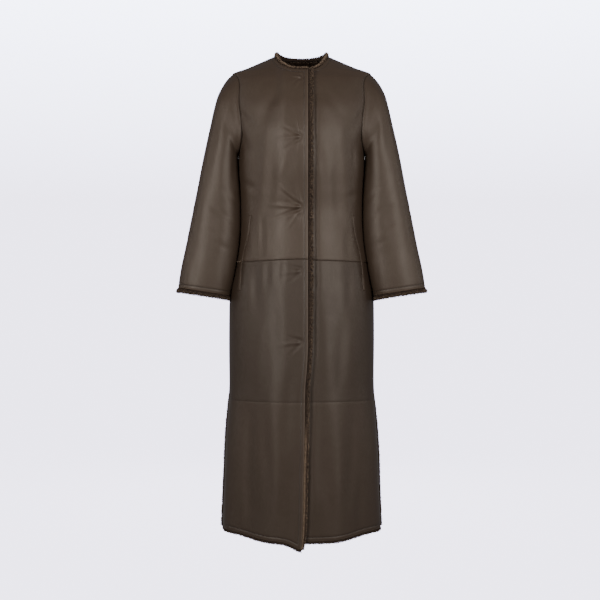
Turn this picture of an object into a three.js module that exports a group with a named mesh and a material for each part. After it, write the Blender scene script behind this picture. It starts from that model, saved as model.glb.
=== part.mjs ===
import * as THREE from 'three';

// Long collarless shearling coat, worn on a general figure, in millimetres.
// +X is the wearer's left, -Y the front and +Z up. The origin is the middle of the neck, where it is held.

// Driving sizes
const WALL = 6;                 // hide with its wool pile
const SEAM_GAP = 0.3;           // between pieces that are sewn together
const SLEEVE_FULLNESS = 2.35;   // exponent of the oval sleeve sections, 2 is an ellipse
const FRONT_LIFT = 10.4;        // how far the right front stands off the left front that it covers
const LIFT_START = -71.5;       // x where the right front starts to rise beside the neck
const LIFT_START_LOW = -122;    // and lower down, where it rises slowly
const LIFT_CHANGE = { from: -75, to: -240 };
const LIFT_END = -38;           // x where it has risen fully
const WOOL_GAP = 0.6;           // between a cut edge and its wool
const WOOL_REACH = 9;           // wool past a cut edge
const WOOL_NECK_SIDE = 7;       // more wool at the sides of the neck, where it stands up
const WOOL_CUFF_REACH = 14.5;
const WOOL_SLIT_CLEAR = 1.5;    // least distance of the wool in a slit from the slit's middle
const WOOL_FLARE = 0.33;        // outward lean of the wool at cuffs and slits, as a share of its reach
const WOOL_THICK = 6.3;         // depth of the roll behind the leather's face
const WOOL_SECTION = [          // the roll's outline, by its share of the reach and its height off the face
  { share: 0.45, height: 0.8 },
  { share: 0.85, height: 0 },
  { share: 1, height: -0.45 * WOOL_THICK },
  { share: 0.75, height: -WOOL_THICK },
];
const NECK_LEAN = 0.3;          // how far the neck's wool leans inwards for its rise
const NECK_LEAN_SIDE = 0.2;     // more lean at the sides of the neck

// Neckline, seam and hem levels
const NECK_HALF_WIDTH = 71.5;
const NECK_SIDE_Z = 7.6;
const NECK_BACK_Z = 10;
const NECK_FRONT_Z = { right: -47, left: -41 };
const NECK_ROUND = { inner: 3, outer: 0.87 };   // exponents of the neckline's curve
const SHOULDER_TIP_Z = -40;
const UNDERARM_Z = -255;
const WAIST_SEAM_Z = -532;
const WAIST_SEAM_DIP = 5;
const LOWER_SEAM_Z = -896;
const SLIT_TOP_Z = -853;
const HEM = [                   // by turn from the front centre, or from the back centre
  { turn: 0, z: -1248 },
  { turn: 21, z: -1246 },
  { turn: 34, z: -1241 },
  { turn: 43, z: -1236 },
  { turn: 52, z: -1232 },
  { turn: 66, z: -1230 },
  { turn: 90, z: -1230 },
];
const CORNER_DROP = 18;         // extra drop of the right front's lower corner
const CORNER_WIDTH = 30;

// Body sections: a row for each level, with its half width, its depth to the front and to the back,
// and the exponent of its oval
const BODY = [
  { z: 22, side: 41, front: 42, back: 65, full: 2.1 },
  { z: 8, side: 71, front: 50, back: 73, full: 2.05 },
  { z: -8, side: 107, front: 58, back: 84, full: 1.95 },
  { z: -24, side: 144.5, front: 68, back: 93, full: 1.88 },
  { z: -40, side: 184.4, front: 80, back: 99, full: 1.85 },
  { z: -60, side: 189.5, front: 95, back: 105, full: 1.95 },
  { z: -105, side: 189, front: 115, back: 114, full: 2.15 },
  { z: -150, side: 182, front: 129, back: 119, full: 2.3 },
  { z: -210, side: 173, front: 139, back: 120, full: 2.3 },
  { z: -255, side: 166, front: 140, back: 117, full: 2.3 },
  { z: -274, side: 167.6, front: 139, back: 115, full: 2.3 },
  { z: -300, side: 166.8, front: 137, back: 112, full: 2.3 },
  { z: -350, side: 164.6, front: 130, back: 107, full: 2.3 },
  { z: -411, side: 164.1, front: 123, back: 103, full: 2.3 },
  { z: -450, side: 165.6, front: 124.5, back: 106, full: 2.3 },
  { z: -493, side: 169, front: 128, back: 114, full: 2.3 },
  { z: -532, side: 174.5, front: 132, back: 122, full: 2.3 },
  { z: -570, side: 181, front: 135.5, back: 129, full: 2.3 },
  { z: -620, side: 190, front: 139, back: 134, full: 2.3 },
  { z: -660, side: 191.5, front: 141, back: 136, full: 2.3 },
  { z: -780, side: 191.5, front: 145, back: 137, full: 2.3 },
  { z: -853, side: 191, front: 146.5, back: 137, full: 2.3 },
  { z: -901, side: 193, front: 147.5, back: 138, full: 2.3 },
  { z: -1007, side: 200, front: 149.5, back: 141, full: 2.3 },
  { z: -1113, side: 204, front: 151.5, back: 144, full: 2.3 },
  { z: -1219, side: 208.5, front: 153.5, back: 147, full: 2.3 },
  { z: -1275, side: 210, front: 155, back: 149, full: 2.3 },
];

// Large soft folds of the body: angle from the front centre, spread, the levels they grow between, and height
const BODY_FOLDS = [
  { angle: -64, spread: 11, start: -640, full: -1200, height: 5 },
  { angle: -41, spread: 9, start: -700, full: -1180, height: -5 },
  { angle: -22, spread: 8, start: -620, full: -1000, height: 3.5 },
  { angle: 24, spread: 9, start: -660, full: -1220, height: 4.5 },
  { angle: 44, spread: 10, start: -720, full: -1150, height: -4.5 },
  { angle: 67, spread: 11, start: -640, full: -1230, height: 5 },
  { angle: 118, spread: 12, start: -560, full: -1200, height: -6 },
  { angle: 142, spread: 12, start: -600, full: -1230, height: 7 },
  { angle: 168, spread: 11, start: -500, full: -1150, height: -6 },
  { angle: -165, spread: 12, start: -560, full: -1200, height: 6 },
  { angle: -138, spread: 12, start: -620, full: -1180, height: -6 },
  { angle: -114, spread: 11, start: -560, full: -1240, height: 6 },
];

// Armhole: an oval on the body surface, by its swing from the side seam to the front and to the back
const ARMHOLE = {
  steps: 9,
  front: { swing: -32, upperRound: 2.6, lowerRound: 1.5 },
  back: { swing: 33, upperRound: 1.6, lowerRound: 1.4 },
};

// Sleeve rings, fanned from the armhole to the cuff: outer and inner points, depths, and how far forward
const SLEEVE = [
  { outX: 184.4, outZ: -40, inX: 166, inZ: -255, front: 62, back: 62, forward: 0 },
  { outX: 199, outZ: -55, inX: 167, inZ: -257, front: 64, back: 64, forward: 1 },
  { outX: 210, outZ: -72, inX: 168, inZ: -260, front: 66, back: 65, forward: 3 },
  { outX: 221, outZ: -96, inX: 168.5, inZ: -265, front: 67, back: 66, forward: 5 },
  { outX: 231, outZ: -133, inX: 169, inZ: -274, front: 67, back: 66, forward: 8 },
  { outX: 240, outZ: -175, inX: 168.5, inZ: -288, front: 65, back: 65, forward: 12 },
  { outX: 251, outZ: -225, inX: 167, inZ: -311, front: 62, back: 63, forward: 16 },
  { outX: 262.5, outZ: -282, inX: 165, inZ: -344, front: 60, back: 61, forward: 20 },
  { outX: 273, outZ: -340, inX: 163.5, inZ: -385, front: 58, back: 60, forward: 24 },
  { outX: 284, outZ: -396, inX: 163.5, inZ: -430, front: 57, back: 58, forward: 27 },
  { outX: 294.5, outZ: -450, inX: 166, inZ: -477, front: 56, back: 57, forward: 30 },
  { outX: 305, outZ: -502, inX: 171.5, inZ: -525, front: 55, back: 56, forward: 32 },
  { outX: 316, outZ: -553, inX: 180.5, inZ: -574, front: 55, back: 55, forward: 34 },
  { outX: 324, outZ: -603, inX: 191.3, inZ: -623.5, front: 54, back: 54, forward: 35 },
];
const SLEEVE_BLEND = 3.5;       // rings over which the sleeve leaves the armhole's outline
const OUTER_SEAM_SWING = 40;    // degrees by which the outer seam runs forward of the sleeve's outline
const OUTER_SEAM_BLEND = 5;     // rings over which it gets there
const SLEEVE_FOLD_BLEND = 1.5;  // rings over which the folds fade in from the armhole
const SLEEVE_ROWS = 17;
const ELBOW_ROW = 11;

// Soft folds of a sleeve: turn from its outer line, spread, place down the rings, length and height
const SLEEVE_FOLDS = [
  { turn: 62, spread: 16, ring: 4.2, length: 1.9, height: -2.5 },
  { turn: 118, spread: 18, ring: 3.2, length: 1.6, height: 2.5 },
  { turn: 95, spread: 22, ring: 8.9, length: 0.8, height: -1.6 },
  { turn: 120, spread: 24, ring: 10, length: 0.7, height: 1.4 },
  { turn: 262, spread: 26, ring: 4.4, length: 1.8, height: -5 },
  { turn: 225, spread: 20, ring: 7.8, length: 0.9, height: 4 },
  { turn: 250, spread: 24, ring: 9, length: 0.8, height: -4 },
];

// Front edges: how far the right one runs past the front centre, and its wool past it, by level
const TOP_EDGE = [
  { z: 40, past: 16, wool: 16 },
  { z: -600, past: 16, wool: 16 },
  { z: -747, past: 16, wool: 14 },
  { z: -816, past: 13, wool: 13 },
  { z: -867, past: 9, wool: 13.5 },
  { z: -955, past: 8, wool: 13 },
  { z: -1066, past: 5.5, wool: 12 },
  { z: -1203, past: 2.8, wool: 11.5 },
  { z: -1275, past: -1, wool: 7.5 },
];
const UNDER_EDGE_PAST = 24;

// Half width of each side slit between its leather edges
const SLIT = [
  { z: -853, half: 0.15 },
  { z: -880, half: 4 },
  { z: -920, half: 8.5 },
  { z: -1010, half: 12 },
  { z: -1275, half: 16 },
];

// Slanted pocket: a narrow welt beside this line, by angle from the front centre
const POCKET = [
  { z: -416, angle: 49.8 },
  { z: -450, angle: 51.2 },
  { z: -480, angle: 53.7 },
  { z: -520, angle: 57.8 },
  { z: -547, angle: 57.7 },
  { z: -580, angle: 55.6 },
  { z: -612, angle: 53.2 },
];
const WELT_WIDTH = 10;
const WELT_THICK = 1.6;
const WELT_STEPS = 10;

// Concealed press snaps down the front centre
const SNAP_LEVELS = [-66, -221, -399, -562, -742];
const SNAP_RADIUS = 6.2;
const SNAP_BASE = 1.1;
const SNAP_NUB_RADIUS = 2.2;
const SNAP_NUB = 2.4;
const SNAP_SOCKET_HOLE = 2.8;
const SNAP_SOCKET_THICK = 1.5;
const SNAP_SEAT_GAP = 0.45;
const SNAP_SIDES = 14;

// Numbers of cells across and down each panel
const FRONT_COLUMNS = 9;
const BACK_COLUMNS = 8;         // from the back centre to each side
const SHOULDER_ROWS = 3;
const SIDE_ROWS = 5;
const MIDDLE_ROWS = 9;
const SLIT_ROW = 7;             // the middle row at which the side slits start
const LOWER_ROWS = 8;
const CENTRE_Z = {
  front: [0, -16, -32, -47, -62, -76, -92, -111, -134, -159, -188, -220, -262],
  back: [0, -18, -36, -54, -66, -80, -98, -119, -143, -169, -197, -226, -255],
};

const UNDERARM_ROW = SHOULDER_ROWS + ARMHOLE.steps;
const UPPER_ROWS = UNDERARM_ROW + SIDE_ROWS;

const DEG = Math.PI / 180;
const SIDES = { right: -1, left: 1 };

const leather = () => new THREE.MeshStandardMaterial({ color: 0x4b4038, roughness: 0.5, metalness: 0 });
const wool = () => new THREE.MeshStandardMaterial({ color: 0x4a3324, roughness: 0.95, metalness: 0 });
const metal = () => new THREE.MeshStandardMaterial({ color: 0x6a6058, roughness: 0.35, metalness: 0.9 });

// Curves and small sums

function smoothCurve(keys, values) {
  const last = keys.length - 1;
  const steps = values.slice(1).map((value, i) => (value - values[i]) / (keys[i + 1] - keys[i]));
  const slopes = values.map((_, i) => {
    if (i === 0) return steps[0];
    if (i === last) return steps[last - 1];
    const product = steps[i - 1] * steps[i];
    return product > 0 ? (2 * product) / (steps[i - 1] + steps[i]) : 0;
  });
  return (key) => {
    if (key <= keys[0]) return values[0] + slopes[0] * (key - keys[0]);
    if (key >= keys[last]) return values[last] + slopes[last] * (key - keys[last]);
    let i = 0;
    while (key > keys[i + 1]) i += 1;
    const width = keys[i + 1] - keys[i];
    const t = (key - keys[i]) / width;
    const rise = values[i + 1] - values[i];
    const bend = (slopes[i] * width - rise) * (1 - t) - (slopes[i + 1] * width - rise) * t;
    return values[i] + rise * t + t * (1 - t) * bend;
  };
}

function byLevel(rows, column) {
  const curve = smoothCurve(rows.map((row) => -row.z), rows.map((row) => row[column]));
  return (z) => curve(-z);
}

function smoothStep(from, to, value) {
  const t = THREE.MathUtils.clamp((value - from) / (to - from), 0, 1);
  return t * t * (3 - 2 * t);
}

function mix(a, b, t) {
  return a + (b - a) * t;
}

function bump(distance, spread) {
  return Math.exp(-((distance / spread) ** 2));
}

// The body surface

const bodySide = byLevel(BODY, 'side');
const bodyFront = byLevel(BODY, 'front');
const bodyBack = byLevel(BODY, 'back');
const bodyFull = byLevel(BODY, 'full');
const topEdgePast = byLevel(TOP_EDGE, 'past');
const topEdgeWool = byLevel(TOP_EDGE, 'wool');
const slitHalf = byLevel(SLIT, 'half');
const pocketAngle = byLevel(POCKET, 'angle');
const hemCurve = smoothCurve(HEM.map((row) => row.turn), HEM.map((row) => row.z));

function ovalRadius(angle, fullness) {
  const sum = Math.abs(Math.sin(angle)) ** fullness + Math.abs(Math.cos(angle)) ** fullness;
  return sum ** (-1 / fullness);
}

// The shortest way round between two angles, in degrees
function turnBetween(a, b) {
  const turn = Math.abs(a - b) % 360;
  return Math.min(turn, 360 - turn);
}

function bodyFold(angle, z) {
  return BODY_FOLDS.reduce((sum, fold) => {
    const distance = turnBetween(angle / DEG, fold.angle);
    return sum + fold.height * bump(distance, fold.spread) * smoothStep(fold.start, fold.full, z);
  }, 0);
}

function bodyBase(angle, z) {
  const radius = ovalRadius(angle, bodyFull(z));
  const depth = Math.cos(angle) >= 0 ? bodyFront(z) : bodyBack(z);
  return new THREE.Vector3(bodySide(z) * radius * Math.sin(angle), -depth * radius * Math.cos(angle), z);
}

function bodyNormal(angle, z) {
  const turn = 0.01;
  const rise = 1;
  const around = bodyBase(angle + turn, z).sub(bodyBase(angle - turn, z));
  const up = bodyBase(angle, z + rise).sub(bodyBase(angle, z - rise));
  return around.cross(up).normalize();
}

function angleAt(x, z) {
  const share = Math.min(Math.abs(x) / bodySide(z), 1);
  const full = bodyFull(z);
  const rest = (1 - share ** full) ** (1 / full);
  return Math.sign(x) * Math.atan2(share, rest);
}

function frontLift(x, z) {
  const start = mix(LIFT_START, LIFT_START_LOW, smoothStep(LIFT_CHANGE.from, LIFT_CHANGE.to, z));
  return FRONT_LIFT * smoothStep(start, LIFT_END, x);
}

// A wall point at an angle and level: its outer face, its inner face and the way out
function bodyWall(angle, z, lifted) {
  const base = bodyBase(angle, z);
  const normal = bodyNormal(angle, z);
  const stand = bodyFold(angle, z) + (lifted ? frontLift(base.x, z) : 0);
  const outer = base.addScaledVector(normal, stand);
  return { outer, inner: outer.clone().addScaledVector(normal, -WALL), normal };
}

// The armhole and the sleeve, worked out for the wearer's left and mirrored for the right

function armhole(turn) {
  const middle = (SHOULDER_TIP_Z + UNDERARM_Z) / 2;
  const half = (SHOULDER_TIP_Z - UNDERARM_Z) / 2;
  const side = Math.abs(Math.sin(turn));
  const part = Math.sin(turn) > 0 ? ARMHOLE.front : ARMHOLE.back;
  const roundness = Math.cos(turn) > 0 ? part.upperRound : part.lowerRound;
  const angle = (90 + part.swing * (1 - (1 - side) ** roundness)) * DEG;
  return { angle, z: middle + half * Math.cos(turn) };
}

const sleeveKeys = SLEEVE.map((_, i) => i);
const sleeveColumn = (column) => smoothCurve(sleeveKeys, SLEEVE.map((row) => row[column]));
const sleeve = Object.fromEntries(Object.keys(SLEEVE[0]).map((column) => [column, sleeveColumn(column)]));
const LAST_RING = SLEEVE.length - 1;

function sleeveTube(turn, ring) {
  const out = new THREE.Vector3(sleeve.outX(ring), -sleeve.forward(ring), sleeve.outZ(ring));
  const inside = new THREE.Vector3(sleeve.inX(ring), -sleeve.forward(ring), sleeve.inZ(ring));
  const centre = out.clone().add(inside).multiplyScalar(0.5);
  const radius = ovalRadius(turn, SLEEVE_FULLNESS);
  const depth = Math.sin(turn) > 0 ? sleeve.front(ring) : sleeve.back(ring);
  const point = centre.clone().addScaledVector(out.sub(centre), radius * Math.cos(turn));
  point.y -= depth * radius * Math.sin(turn);
  return point;
}

function sleevePoint(turn, ring) {
  const seam = armhole(turn);
  const leave = smoothStep(0, SLEEVE_BLEND, ring);
  const shift = bodyBase(seam.angle, seam.z).sub(sleeveTube(turn, 0));
  return sleeveTube(turn, ring).addScaledVector(shift, 1 - leave);
}

function sleeveNormal(turn, ring) {
  const step = 0.02;
  const low = Math.max(ring - step, 0);
  const high = Math.min(low + 2 * step, LAST_RING);
  const around = sleevePoint(turn + step, ring).sub(sleevePoint(turn - step, ring));
  const down = sleevePoint(turn, high).sub(sleevePoint(turn, low));
  return down.cross(around).normalize().negate();
}

function sleeveFold(turn, ring) {
  return SLEEVE_FOLDS.reduce((sum, fold) => {
    const distance = turnBetween(turn / DEG, fold.turn);
    return sum + fold.height * bump(distance, fold.spread) * bump(ring - fold.ring, fold.length);
  }, 0);
}

function sleeveWall(turn, ring) {
  const normal = sleeveNormal(turn, ring);
  const fold = sleeveFold(turn, ring) * smoothStep(0, SLEEVE_FOLD_BLEND, ring);
  const outer = sleevePoint(turn, ring).addScaledVector(normal, fold);
  return { outer, inner: outer.clone().addScaledVector(normal, -WALL), normal };
}

// Body and sleeve share one mitred edge at the armhole, and each keeps half of the seam's gap from it
const LEAST_SLANT = 0.62;

function armholeEdge(turn, towardsSleeve) {
  const step = 0.02;
  const seam = armhole(turn);
  const point = bodyBase(seam.angle, seam.z);
  const bodyOut = bodyNormal(seam.angle, seam.z);
  const sleeveOut = sleeveNormal(turn, 0);
  const normal = bodyOut.clone().add(sleeveOut).normalize();
  const slant = Math.max(normal.dot(bodyOut), LEAST_SLANT);
  const along = sleevePoint(turn + step, 0).sub(sleevePoint(turn - step, 0));
  const across = along.cross(normal).normalize();
  if (across.dot(sleevePoint(turn, 1).sub(point)) < 0) across.negate();
  const outer = point.addScaledVector(across, (towardsSleeve ? 1 : -1) * (SEAM_GAP / 2));
  return { outer, inner: outer.clone().addScaledVector(normal, -WALL / slant), normal, across };
}

function mirrorWall(cell, side) {
  const flip = (vector) => new THREE.Vector3(vector.x * side, vector.y, vector.z);
  return { outer: flip(cell.outer), inner: flip(cell.inner), normal: flip(cell.normal) };
}

// Closed solids from grids and rings

function solid(name, points, faces, material) {
  const positions = points.flatMap((point) => [point.x, point.y, point.z]);
  let volume = 0;
  faces.forEach(([a, b, c]) => {
    volume += points[a].dot(points[b].clone().cross(points[c]));
  });
  const index = volume > 0 ? faces.flat() : faces.flatMap(([a, b, c]) => [a, c, b]);
  const geometry = new THREE.BufferGeometry();
  geometry.setAttribute('position', new THREE.Float32BufferAttribute(positions, 3));
  geometry.setIndex(index);
  geometry.computeVertexNormals();
  const mesh = new THREE.Mesh(geometry, material);
  mesh.name = name;
  return mesh;
}

function quad(faces, a, b, c, d) {
  faces.push([a, b, c], [a, c, d]);
}

// A wall between the outer and the inner points of a grid, closed round its edge
function wallSolid(name, grid, material) {
  const rows = grid.length;
  const columns = grid[0].length;
  const last = columns - 1;
  const points = [...grid.flat().map((cell) => cell.outer), ...grid.flat().map((cell) => cell.inner)];
  const outer = (i, j) => i * columns + j;
  const inner = (i, j) => rows * columns + i * columns + j;
  const faces = [];
  for (let i = 0; i < rows - 1; i += 1) {
    for (let j = 0; j < columns - 1; j += 1) {
      quad(faces, outer(i, j), outer(i, j + 1), outer(i + 1, j + 1), outer(i + 1, j));
      quad(faces, inner(i, j), inner(i + 1, j), inner(i + 1, j + 1), inner(i, j + 1));
    }
    quad(faces, outer(i, 0), outer(i + 1, 0), inner(i + 1, 0), inner(i, 0));
    quad(faces, outer(i, last), inner(i, last), inner(i + 1, last), outer(i + 1, last));
  }
  for (let j = 0; j < columns - 1; j += 1) {
    quad(faces, outer(0, j), inner(0, j), inner(0, j + 1), outer(0, j + 1));
    quad(faces, outer(rows - 1, j), outer(rows - 1, j + 1), inner(rows - 1, j + 1), inner(rows - 1, j));
  }
  return solid(name, points, faces, material);
}

// A solid through rings of equal size, closed at its ends or joined into a loop
function ringSolid(name, rings, looped, material) {
  const size = rings[0].length;
  const points = rings.flat();
  const faces = [];
  const count = looped ? rings.length : rings.length - 1;
  for (let i = 0; i < count; i += 1) {
    const next = (i + 1) % rings.length;
    for (let j = 0; j < size; j += 1) {
      const beside = (j + 1) % size;
      quad(faces, i * size + beside, next * size + beside, next * size + j, i * size + j);
    }
  }
  if (!looped) {
    const last = (rings.length - 1) * size;
    for (let j = 1; j < size - 1; j += 1) {
      faces.push([0, j + 1, j], [last, last + j, last + j + 1]);
    }
  }
  return solid(name, points, faces, material);
}

// Evenly spaced angle and level pairs along a path on the body surface
function evenly(path, count) {
  const fine = 80;
  const samples = [];
  for (let i = 0; i <= fine; i += 1) samples.push(path(i / fine));
  const lengths = [0];
  for (let i = 1; i <= fine; i += 1) {
    const here = bodyBase(samples[i].angle, samples[i].z);
    const before = bodyBase(samples[i - 1].angle, samples[i - 1].z);
    lengths.push(lengths[i - 1] + here.distanceTo(before));
  }
  const result = [];
  for (let k = 0; k <= count; k += 1) {
    const target = (lengths[fine] * k) / count;
    let i = 1;
    while (i < fine && lengths[i] < target) i += 1;
    const t = (target - lengths[i - 1]) / (lengths[i] - lengths[i - 1]);
    const angle = mix(samples[i - 1].angle, samples[i].angle, t);
    result.push({ angle, z: mix(samples[i - 1].z, samples[i].z, t) });
  }
  return result;
}

// Moves the points along a grid's edge towards its inside, by half of the seam's gap
function insetEdge(edge, inside) {
  edge.forEach((cell, i) => {
    const shift = inside[i].outer.clone().sub(cell.outer).setLength(SEAM_GAP / 2);
    cell.outer.add(shift);
    cell.inner.add(shift);
  });
}

const columnOf = (grid, j) => grid.map((row) => row.at(j));

// Body panels. Each half runs from its centre line, past it on the fronts, to the shoulder, armhole and side

function neckFrontLevel(x, neckZ) {
  const share = Math.min(Math.abs(x) / NECK_HALF_WIDTH, 1);
  return NECK_SIDE_Z + (neckZ - NECK_SIDE_Z) * (1 - share ** NECK_ROUND.inner) ** NECK_ROUND.outer;
}

function frontEdgeAngle(which, z) {
  const past = which === 'right' ? topEdgePast(z) : UNDER_EDGE_PAST;
  return -angleAt(past, z);
}

// The side boundary of the upper panels, from the neck to the waist seam
function upperSide(row, isFront) {
  if (row <= SHOULDER_ROWS) {
    return { angle: 90 * DEG, z: mix(NECK_SIDE_Z, SHOULDER_TIP_Z, row / SHOULDER_ROWS) };
  }
  if (row < UNDERARM_ROW) {
    const turn = ((row - SHOULDER_ROWS) / ARMHOLE.steps) * Math.PI;
    return armhole(isFront ? turn : -turn);
  }
  const share = (row - UNDERARM_ROW) / SIDE_ROWS;
  return { angle: 90 * DEG, z: mix(UNDERARM_Z, WAIST_SEAM_Z - WAIST_SEAM_DIP, share) };
}

function upperCentreLevel(row, isFront, neckZ) {
  const table = isFront ? CENTRE_Z.front : CENTRE_Z.back;
  if (row >= UNDERARM_ROW) {
    return mix(table.at(-1), WAIST_SEAM_Z, (row - UNDERARM_ROW) / SIDE_ROWS);
  }
  return table[row] + neckZ * (1 - row / UNDERARM_ROW);
}

function hemLevel(angle, which) {
  const level = hemCurve(Math.abs(angle) / DEG);
  if (which !== 'right') return level;
  const x = bodyBase(-angle, level).x;
  return level - CORNER_DROP * bump(Math.max(topEdgePast(level) - x, 0), CORNER_WIDTH);
}

// Side boundary of the skirt panels: the side seam, then the slit's edge
function skirtSideAngle(z) {
  if (z > SLIT_TOP_Z) return 90 * DEG;
  return 90 * DEG - slitHalf(z) / bodyFront(z);
}

// The wall points of a half panel, in rows from its centre edge to its side
function halfPanel(part, which, side) {
  const isFront = which !== 'back';
  const place = ({ angle, z }) => {
    const worldAngle = side * (isFront ? angle : Math.PI - angle);
    return bodyWall(worldAngle, z, which === 'right');
  };
  const columns = isFront ? FRONT_COLUMNS : BACK_COLUMNS;
  const rows = { upper: UPPER_ROWS, middle: MIDDLE_ROWS, lower: LOWER_ROWS }[part];
  const grid = [];
  for (let row = 0; row <= rows; row += 1) {
    const path = part === 'upper' ? upperPath(row, which) : skirtPath(part, which, row / rows);
    const cells = evenly(path, columns).map(place);
    if (part === 'upper' && row >= SHOULDER_ROWS && row <= UNDERARM_ROW) {
      const turn = ((row - SHOULDER_ROWS) / ARMHOLE.steps) * Math.PI;
      cells[columns] = mirrorWall(armholeEdge(isFront ? turn : -turn, false), side);
    }
    grid.push(cells);
  }
  return grid;
}

// A row of an upper panel, from its centre edge to the shoulder, the armhole or the side seam
function upperPath(row, which) {
  const isFront = which !== 'back';
  const neckZ = isFront ? NECK_FRONT_Z[which] : NECK_BACK_Z;
  if (row === 0 && isFront) return neckPath(which, neckZ);
  const centreZ = upperCentreLevel(row, isFront, neckZ);
  const side = upperSide(row, isFront);
  const endAngle = isFront ? side.angle : Math.PI - side.angle;
  const startAngle = isFront ? frontEdgeAngle(which, centreZ) : 0;
  return (t) => {
    const angle = mix(startAngle, endAngle, t);
    return { angle, z: mix(centreZ, side.z, Math.max(angle, 0) / endAngle) };
  };
}

function neckPath(which, neckZ) {
  const past = which === 'right' ? topEdgePast(0) : UNDER_EDGE_PAST;
  return (t) => {
    const x = mix(-past, NECK_HALF_WIDTH, t);
    const z = neckFrontLevel(x, neckZ);
    return { angle: t === 1 ? 90 * DEG : angleAt(x, z), z };
  };
}

function skirtLevel(part, which, down, angle) {
  if (part === 'lower') return mix(LOWER_SEAM_Z, hemLevel(angle, which), down);
  const waist = WAIST_SEAM_Z - WAIST_SEAM_DIP * Math.abs(Math.sin(angle));
  const slitShare = SLIT_ROW / MIDDLE_ROWS;
  if (down <= slitShare) return mix(waist, SLIT_TOP_Z, down / slitShare);
  return mix(SLIT_TOP_Z, LOWER_SEAM_Z, (down - slitShare) / (1 - slitShare));
}

function skirtPath(part, which, down) {
  const centreZ = skirtLevel(part, which, down, 0);
  const startAngle = which === 'back' ? 0 : frontEdgeAngle(which, centreZ);
  const endAngle = skirtSideAngle(skirtLevel(part, which, down, 90 * DEG));
  return (t) => {
    const angle = mix(startAngle, endAngle, t);
    return { angle, z: skirtLevel(part, which, down, angle) };
  };
}

function wholeBack(part) {
  const right = halfPanel(part, 'back', SIDES.right);
  const left = halfPanel(part, 'back', SIDES.left);
  return left.map((cells, row) => [...right[row].slice(1).reverse(), ...cells]);
}

// Whether a row's side end lies on the shoulder or side seam, and not on the armhole or the slit
function isSideSewn(part, row) {
  if (part === 'upper') return row <= SHOULDER_ROWS || row >= UNDERARM_ROW;
  return part === 'middle' && row <= SLIT_ROW;
}

function bodyPanelGrid(part, which) {
  const grid = which === 'back' ? wholeBack(part) : halfPanel(part, which, SIDES[which]);
  const sewn = grid.filter((_, row) => isSideSewn(part, row));
  insetEdge(columnOf(sewn, -1), columnOf(sewn, -2));
  if (which === 'back') insetEdge(columnOf(sewn, 0), columnOf(sewn, 1));
  if (part !== 'upper') insetEdge(grid[0], grid[1]);
  if (part !== 'lower') insetEdge(grid.at(-1), grid.at(-2));
  return grid;
}

// Sleeve panels, front and back. The back bends most round the hollow, so it is made in two lengths that
// meet at the elbow

const SLEEVE_PIECES = [
  { piece: 'front', half: 'front', from: 0, to: SLEEVE_ROWS },
  { piece: 'back_upper', half: 'back', from: 0, to: ELBOW_ROW },
  { piece: 'back_lower', half: 'back', from: ELBOW_ROW, to: SLEEVE_ROWS },
];

function sleeveGrid(which, { half, from, to }) {
  const side = SIDES[which];
  const grid = [];
  for (let row = from; row <= to; row += 1) {
    const ring = (LAST_RING * row) / SLEEVE_ROWS;
    const outerSeam = OUTER_SEAM_SWING * DEG * smoothStep(0, OUTER_SEAM_BLEND, ring);
    const cells = [];
    for (let step = 0; step <= ARMHOLE.steps; step += 1) {
      const share = step / ARMHOLE.steps;
      const turn = mix(half === 'front' ? outerSeam : 2 * Math.PI + outerSeam, Math.PI, share);
      const cell = row === 0 ? armholeEdge(turn, true) : sleeveWall(turn, ring);
      cells.push(mirrorWall(cell, side));
    }
    grid.push(cells);
  }
  insetEdge(columnOf(grid, 0), columnOf(grid, 1));
  insetEdge(columnOf(grid, -1), columnOf(grid, -2));
  if (from > 0) insetEdge(grid[0], grid[1]);
  if (to < SLEEVE_ROWS) insetEdge(grid.at(-1), grid.at(-2));
  return grid;
}

// Wool that rolls out past the cut edges

// A frame for each point of an edge: the wall's two faces, the way out past it, the wool's lean and its up
function edgeFrames(edge, inside, reach, flare = 0) {
  return edge.map((cell, i) => {
    const out = cell.outer.clone().sub(inside[i].outer).normalize();
    const lean = out.clone().addScaledVector(cell.normal, flare).multiplyScalar(reach(cell.outer));
    return { ...cell, out, lean, up: cell.normal };
  });
}

function neckFrames(edge, inside) {
  const frames = edgeFrames(edge, inside, () => WOOL_REACH);
  frames.forEach((frame) => {
    const round = new THREE.Vector3(frame.outer.x, frame.outer.y, 0).normalize();
    const inwards = NECK_LEAN + NECK_LEAN_SIDE * Math.abs(round.x);
    const reach = WOOL_REACH + WOOL_NECK_SIDE * round.x ** 2;
    frame.lean = new THREE.Vector3(0, 0, 1).addScaledVector(round, -inwards).setLength(reach);
    const ahead = frame.lean.clone().normalize();
    frame.up = frame.normal.clone().addScaledVector(ahead, -frame.normal.dot(ahead)).normalize();
  });
  return frames;
}

function cornerFrame(before, after) {
  const out = before.out.clone().add(after.out);
  const lean = before.lean.clone().add(after.lean);
  return { ...after, out, lean };
}

function woolRing({ outer, inner, out, lean, up }) {
  const at = (share, height) => outer.clone().addScaledVector(lean, share).addScaledVector(up, height);
  return [
    outer.clone().addScaledVector(out, WOOL_GAP),
    ...WOOL_SECTION.map(({ share, height }) => at(share, height)),
    inner.clone().addScaledVector(out, WOOL_GAP),
  ];
}

function woolRoll(name, frames, looped = false) {
  return ringSolid(name, frames.map(woolRing), looped, wool());
}

// The panels, their wool, the pockets and the snaps

const coat = new THREE.Group();
const grids = {};

['upper', 'middle', 'lower'].forEach((part) => {
  ['right', 'left', 'back'].forEach((which) => {
    const name = which === 'back' ? `back_${part}` : `front_${which}_${part}`;
    grids[name] = bodyPanelGrid(part, which);
    coat.add(wallSolid(name, grids[name], leather()));
  });
});

['right', 'left'].forEach((which) => {
  SLEEVE_PIECES.forEach((length) => {
    const name = `sleeve_${which}_${length.piece}`;
    grids[name] = sleeveGrid(which, length);
    coat.add(wallSolid(name, grids[name], leather()));
  });
});

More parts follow.
